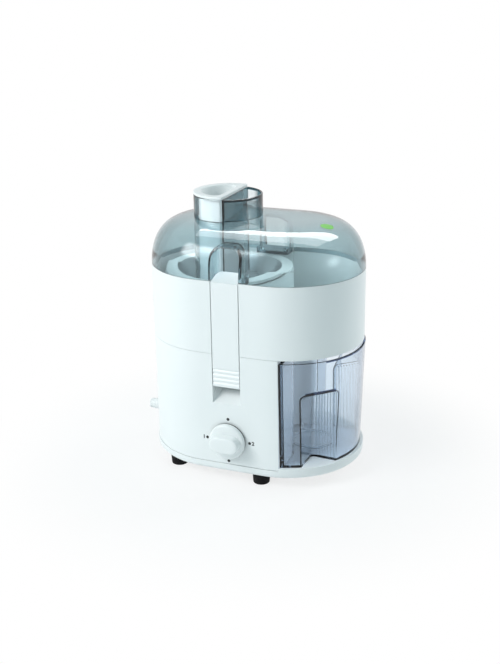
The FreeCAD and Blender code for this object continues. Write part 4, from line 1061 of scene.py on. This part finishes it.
def selector_knob():
    """Knob: a round-edged skirt turned about the spindle, a grip bar lofted to a soft crown, and a black
    neck behind the skirt that paints the shade round the knob's base.
    """
    skirt_rows = [(SHARP, NECK_FRONT), (KNOB_R, NECK_FRONT)]
    skirt_rows += [(KNOB_R - inwards, KNOB_FACE + back) for inwards, back in KNOB_EDGE]
    skirt_rows.append((SHARP, KNOB_FACE - KNOB_SWELL))
    radii, places = zip(*skirt_rows)
    skirt = along_y([circle(r, LARGE_POINTS, KNOB_Z, KNOB_X) for r in radii], places)
    half = BAR_LONG / 2 - BAR_WIDE / 2
    turn = np.linspace(-0.5 * math.pi, 0.5 * math.pi, BAR_CAP_POINTS)
    cap = np.stack([np.sin(turn), half * 2 / BAR_WIDE + np.cos(turn)], 1)
    plan = np.concatenate([cap, -cap])
    rows = [(1.0, KNOB_FACE + SINK), (1.0, KNOB_FACE)]
    rows += [(share, KNOB_FRONT + back) for share, back in BAR_CROWN]
    shares, places = zip(*rows)
    bar = along_y([plan * share * BAR_WIDE / 2 + (KNOB_Z, KNOB_X) for share in shares], places)
    hollow = knob_bar(KNOB_HOLLOW_R, (KNOB_BACK + OVER, KNOB_HOLLOW), DISC_POINTS)
    bore = knob_bar(SPINDLE_HOLE_R, (KNOB_BACK + OVER, SPINDLE_END), PIN_POINTS)
    surface = combined(skirt, (JOIN, bar), (CUT, hollow), (CUT, bore))
    piece("knob_grip", surface, "knob", "white_knob", ("selector_knob",))
    # Painted shade: a black ring behind the skirt stands in for the shadow in the gap round the knob
    shadow_neck = combined(knob_bar(SHADOW_NECK_R, (KNOB_BACK, NECK_FRONT), LARGE_POINTS), (CUT, hollow))
    piece("knob_shadow_neck", shadow_neck, "knob", "black_plastic")


def cord_gland():
    """Tapered bushing: a ribbed profile turned about the cord's axis."""
    reach = np.linspace(GLAND_WALL_X - GLAND_PLAIN, GLAND_TIP_X + GLAND_EDGE, GLAND_ROWS)
    out = reach - GLAND_WALL_X
    taper = GLAND_R + (GLAND_TIP_R - GLAND_R) * out / (GLAND_TIP_X - GLAND_WALL_X)
    ribs = taper - GLAND_RIB_DEEP * (0.5 - 0.5 * np.cos(out * 2 * math.pi / GLAND_RIB_PITCH))
    flange = [(GLAND_BORE, GLAND_INNER_X), (GLAND_FLANGE_R, GLAND_INNER_X), (GLAND_FLANGE_R, GLAND_SEAT_X),
              (GLAND_R, GLAND_SEAT_X)]
    tip = [(GLAND_TIP_R - GLAND_EDGE, GLAND_TIP_X), (GLAND_BORE, GLAND_TIP_X)]
    profile = np.concatenate([flange, np.stack([ribs, reach], 1), tip])
    bar = along_x([circle(r, BAR_POINTS, 0.0, GLAND_Z) for r in profile[:, 0]], profile[:, 1])
    bore = gland_bar(GLAND_BORE, (GLAND_TIP_X - OVER, GLAND_INNER_X + OVER))
    piece("gland_sleeve", combined(bar, (CUT, bore)), "base", "gland_plastic", ("cord_gland",))


def cup_plan(inset, share, side):
    """Plan of the cup at a share of its height, inset all round, and by side at its front wing."""
    radius = BODY_R + CUP_PROUD - CUP_DRAFT * (1 - share) - inset
    nose = CUP_NOSE_R - CUP_NOSE_DRAFT * (1 - share) - inset
    lefts = [CUP_LEFT + side, CUP_LEFT + inset]
    front, back = (bay_edge(left, nose, CUP_FILLET + inset) for left in lefts)
    wide = [math.acos((left - BODY_HALF) / radius) for left in lefts]
    turn = np.linspace(wide[1], -wide[0], CUP_POINTS)
    outer = arc(BODY_HALF, 0.0, radius, turn)
    middle = len(front) // 2
    return np.concatenate([outer, front[:middle], back[middle:]])[::-1]


def niche_height(x, y):
    """Height of the niche's ceiling: it climbs with the distance out of the corner, along the diagonal."""
    return NICHE_TOP + NICHE_SLOPE * ((x - NICHE_X) - (y + NICHE_Y)) * math.sqrt(0.5)


def grip_niche(grow):
    """Finger space in the cup's front corner: its plan raised to the sloped ceiling, with round edges."""
    corner_r = NICHE_ROUND + grow
    bend = np.linspace(0.0, 0.5 * math.pi, NICHE_BEND)
    insets = np.concatenate([[0.0], corner_r * (1 - np.cos(bend))])
    drops = np.concatenate([[NICHE_TOP], corner_r * (1 - np.sin(bend))])
    shape = [(0.0, 0.0), (-NICHE_FLARE, -NICHE_FAR), (NICHE_FAR, -NICHE_FAR), (NICHE_FAR, -NICHE_DRAFT)]
    plans = []
    for inset in insets:
        at = np.array((NICHE_X - grow + inset, -NICHE_Y + grow - inset))
        radii = (max(corner_r - inset, NICHE_SHARP), NICHE_SHARP, NICHE_SHARP, NICHE_SHARP)
        plans.append(rounded(at + shape, radii, NICHE_STEPS))
    points, faces = raised(plans, grow - drops)
    points[:, 2] += niche_height(points[:, 0], points[:, 1])
    return points, faces


def juice_cup():
    """Clear cup: its plan lofted from foot to brim, hollow, with grip niches, ribs and a floor ring."""
    solid = raised([cup_plan(0.0, 0.0, 0.0), cup_plan(0.0, 1.0, 0.0)], (SHELF_TOP + CUP_SEAT, CUP_TOP))
    low = SHELF_TOP + CUP_FLOOR
    tall = CUP_TOP - SHELF_TOP
    room_plans = [cup_plan(CUP_WALL, share, CUP_SIDE_WALL) for share in (CUP_FLOOR / tall, 1 + CUP_OPEN)]
    room = combined(raised(room_plans, (low, CUP_TOP + CUP_OPEN * tall)), (CUT, both(grip_niche(CUP_WALL))))
    ribs = []
    for index in range(RIBS):
        x = RIB_FIRST_X + index * RIB_PITCH
        y = -NICHE_Y - NICHE_DRAFT * (x - NICHE_X) / NICHE_FAR
        top = niche_height(x, y) + RIB_OVER
        ribs.append(both(post(RIB_R, SHELF_TOP + RIB_LOW, top, x, y, RIB_POINTS)))
    at = (CUP_RING_X, CUP_RING_Y, LARGE_POINTS)
    ring = combined(post(CUP_RING_R, low - CUP_RING_SINK, low + CUP_RING_TALL, *at),
                    (CUT, post(CUP_RING_R - CUP_RING_WALL, low - OVER, low + 2 * OVER, *at)))
    surface = combined(solid, (CUT, both(grip_niche(0.0))), (CUT, room), (JOIN, together(*ribs)),
                       (JOIN, ring))
    return piece("cup_vessel", surface, "cup", "cup_clear", ("juice_cup",))


def dial_marks():
    """Round printed dots about the knob, and plain numbers beside the left and right ones."""
    for index in range(MARKS):
        turn = 2 * math.pi * index / MARKS
        x = KNOB_X + MARK_RING * math.cos(turn)
        z = KNOB_Z + MARK_RING * math.sin(turn)
        dot = along_y(circle(MARK_R, HOLE_POINTS, z, x), (-BODY_R - PRINT, -BODY_R + PRINT_SINK))
        piece("dial_dot_%d" % index, dot, "base", "black_plastic")
    for digit, side in (("1", -1), ("2", 1)):
        words = bpy.data.curves.new("number", "FONT")
        words.body = digit
        words.size = NUMBER_SIZE
        words.extrude = PRINT
        words.offset = NUMBER_BOLD
        words.align_x = "CENTER"
        words.align_y = "CENTER"
        item = bpy.data.objects.new("number", words)
        points, faces = surface_of(bpy.data.meshes.new_from_object(item))
        bpy.data.objects.remove(item)
        x, z, out = points.T
        points = np.stack([KNOB_X + side * NUMBER_RING + x, -BODY_R - out, KNOB_Z + z], 1)
        piece("dial_number_" + digit, (points, faces), "base", "black_plastic")


def green_dot():
    """Plain round label: a disc of rings laid on the dome's right end, a hair thick."""
    turn = np.linspace(0.0, 2 * math.pi, DISC_POINTS, endpoint=False)
    rows = np.linspace(DOT_MIDDLE, DOT_R, DOT_ROWS)
    radii = np.concatenate([rows, rows[::-1]])
    lift = np.repeat((DOT_LIFT, -DOT_SINK), DOT_ROWS)
    x = DOT_X + radii[:, None] * np.cos(turn)
    y = DOT_Y + radii[:, None] * np.sin(turn)
    out = np.hypot(np.maximum(np.abs(x) - BODY_HALF, 0.0), y)
    z = RIM + dome_height(out, 0.0) + lift[:, None]
    piece("round_label", loft(np.stack([x, y, z], 2)), "lid", "green_label")


def dress(nodes, finish):
    """Give CAD pieces their finish, with merged corners and smooth round faces."""
    for name in nodes:
        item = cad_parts[name]
        for slot in item.material_slots:
            slot.material = FINISHES[finish]
        merge = item.modifiers.new("merge", "WELD")
        merge.merge_threshold = CLOSE
        split = item.modifiers.new("sharp_corners", "EDGE_SPLIT")
        split.split_angle = math.radians(SHARP_ANGLE)
        item.data.polygons.foreach_set("use_smooth", [True] * len(item.data.polygons))


def finishes():
    """All finishes by the name of their slot, from rows of a maker, the name and what the maker takes."""
    rows = (
        (moulded, "white_body", (0.86, 0.89, 0.89), (0.89, 0.91, 0.91), 0.32, 900.0, 0.04),
        (moulded, "white_latch", (0.87, 0.895, 0.90), (0.90, 0.92, 0.92), 0.3, 900.0, 0.04),
        (moulded, "white_knob", (0.86, 0.89, 0.89), (0.89, 0.91, 0.91), 0.25, 900.0, 0.03),
        (moulded, "basket_white", (0.83, 0.85, 0.84), (0.88, 0.90, 0.89), 0.36, 700.0, 0.05),
        # Clear rows: tint, painted shade colour of edges and lines, absorption colour and density, painted
        # rim band, painted shade and light shares
        (clear_plastic, "lid_clear", (0.63, 0.745, 0.765), (0.02, 0.07, 0.09), (0.10, 0.35, 0.45), 30.0,
         LID_PAINTED_RIM, lid_painted_shares),
        (clear_plastic, "cup_clear", (0.86, 0.92, 0.97), (0.05, 0.08, 0.17), (0.06, 0.39, 0.69), 12.0,
         CUP_PAINTED_RIM, cup_painted_shares),
        (moulded, "foot_rubber", (0.006, 0.006, 0.007), (0.012, 0.012, 0.013), 0.7, 500.0, 0.2, 0.12),
        (moulded, "seal_rubber", (0.02, 0.02, 0.022), (0.03, 0.03, 0.033), 0.7, 500.0, 0.2),
        (metal, "screw_steel", (0.55, 0.56, 0.58), (0.68, 0.69, 0.70), 0.35, 400.0),
        (perforated, "screen_steel", (0.62, 0.64, 0.66), (0.75, 0.77, 0.79), 0.25, 300.0),
        (metal, "bearing_steel", (0.6, 0.61, 0.63), (0.72, 0.73, 0.74), 0.25, 300.0),
        (metal, "bracket_metal", (0.5, 0.51, 0.52), (0.62, 0.63, 0.63), 0.45, 200.0),
        (layered, "lamination", (0.12, 0.12, 0.13), (0.32, 0.32, 0.33), 0.0005, 0.8, 0.55),
        (layered, "copper_wire", (0.33, 0.12, 0.05), (0.72, 0.32, 0.16), 0.0006, 0.9, 0.4),
        (moulded, "carbon", (0.02, 0.02, 0.02), (0.04, 0.04, 0.04), 0.6, 800.0, 0.3),
        (moulded, "black_plastic", (0.012, 0.012, 0.013), (0.02, 0.02, 0.021), 0.45, 700.0, 0.1),
        (moulded, "green_label", (0.20, 0.68, 0.09), (0.24, 0.74, 0.12), 0.35, 600.0, 0.05),
        (moulded, "gland_plastic", (0.80, 0.82, 0.82), (0.85, 0.87, 0.87), 0.4, 600.0, 0.1),
    )
    return {name: maker(name, *values) for maker, name, *values in rows}


def seen_rays(bench):
    """One for rays from the camera, from gloss and through clear walls, and zero for other light."""
    kinds = ("Is Camera Ray", "Is Glossy Ray", "Is Transmission Ray")
    straight, gloss, through = (bench.node("LightPath", out=kind) for kind in kinds)
    return bench.math("MINIMUM", straight + gloss + through, 1.0)


def studio():
    """White surround, seen full by the camera and through clear walls, and a cool fill for all else."""
    scene = bpy.context.scene
    scene.view_settings.view_transform = "Standard"
    scene.world = bpy.data.worlds.new("studio")
    bench = bench_of(scene.world)
    fill = bench.node("Background", sockets=FILL_LIGHT)
    white = bench.node("Background", sockets=WHITE_LIGHT)
    mixed = bench.node("MixShader", sockets={0: seen_rays(bench), 1: fill, 2: white})
    shown(bench, mixed, "World")


def soften(data, soft):
    """Let a lamp fade out towards its sides, over a share of each side."""
    bench = bench_of(data)
    spot = bench.node("NewGeometry", out="Parametric")
    sides = [bench.node("SeparateXYZ", sockets={0: spot}, out=axis) for axis in "XY"]
    fade = [ramp(0.5 - abs(side - 0.5), (0.0, soft), "SMOOTHSTEP") for side in sides]
    glow = bench.node("Emission", sockets={"Strength": fade[0] * fade[1]})
    shown(bench, glow, "Light")


def lamp(name, hidden=(), lit=()):
    """Rectangular lamp turned to its aim, hidden from some rays; with lit pieces it reaches them alone."""
    place, aim, size, power, soft = LAMPS[name]
    data = bpy.data.lights.new(name, "AREA")
    data.shape = "RECTANGLE"
    data.size, data.size_y = size
    data.energy = power
    if soft:
        soften(data, soft)
    item = placed(name, data)
    back = (Vector(place) - Vector(aim)).normalized()
    item.matrix_world = Matrix.Translation(place) @ back.to_track_quat("Z", "Y").to_matrix().to_4x4()
    for way in hidden:
        setattr(item, "visible_" + way, False)
    if lit:
        group = bpy.data.collections.new(name + "_lit")
        for other in lit:
            group.objects.link(other)
        item.light_linking.receiver_collection = group


def floor():
    """Pale floor that keeps the soft shadow near the object and fades to white around it."""
    mesh = mesh_of("floor", raised(circle(FLOOR_R, FLOOR_POINTS), FLOOR_LEVELS))
    item = placed("floor", mesh)
    material, bench = new_material("floor_white")
    place = bench.node("TexCoord", out="Object")
    far = bench.node("VectorMath", {"operation": "LENGTH"}, {0: place}, out="Value")
    fade = ramp(far, SHADOW_REACH, "SMOOTHSTEP")
    cover = seen_rays(bench) * (1 - SHADOW_SHARE + SHADOW_SHARE * fade)
    pale = bench.node("BsdfDiffuse", sockets={"Color": covered(FLOOR_COLOUR)})
    white = bench.node("Emission", sockets=WHITE_LIGHT)
    mixed = bench.node("MixShader", sockets={0: cover, 1: pale, 2: white})
    shown(bench, mixed)
    mesh.materials.append(material)


def camera():
    """Camera at the photograph's place: a little right of the front and above, with a slight roll."""
    flat = math.cos(VIEW_RISE)
    back = Vector((math.sin(VIEW_TURN) * flat, -math.cos(VIEW_TURN) * flat, math.sin(VIEW_RISE)))
    level = Vector((math.cos(VIEW_TURN), math.sin(VIEW_TURN), 0.0))
    upright = back.cross(level)
    right = level * math.cos(VIEW_ROLL) + upright * math.sin(VIEW_ROLL)
    up = upright * math.cos(VIEW_ROLL) - level * math.sin(VIEW_ROLL)
    data = bpy.data.cameras.new("photo_camera")
    data.lens = VIEW_LENS
    data.shift_x, data.shift_y = VIEW_SHIFT
    item = placed("photo_camera", data)
    place = Vector(VIEW_CENTRE) + back * VIEW_FAR
    item.matrix_world = Matrix.Translation(place) @ Matrix((right, up, back)).transposed().to_4x4()
    bpy.context.scene.camera = item


FINISHES = finishes()
camera()
studio()
floor()
lamp("key")
lamp("rim", ("glossy", "transmission"))
base_tray()
feet()
lamp("bay", ("glossy", "transmission"), (motor_housing(),))
collector()
clear_pieces = (lid(), juice_cup())
lamp("sky_back", ("diffuse", "transmission"), clear_pieces)
lamp("sky_front", ("diffuse", "transmission"), clear_pieces)
lamp("glint", ("diffuse",), clear_pieces)
pusher()
latch(-1, "front_latch")
latch(1, "back_latch")
selector_knob()
cord_gland()
dial_marks()
green_dot()
for finish_name, node_names in DRESSED.items():
    dress(node_names, finish_name)
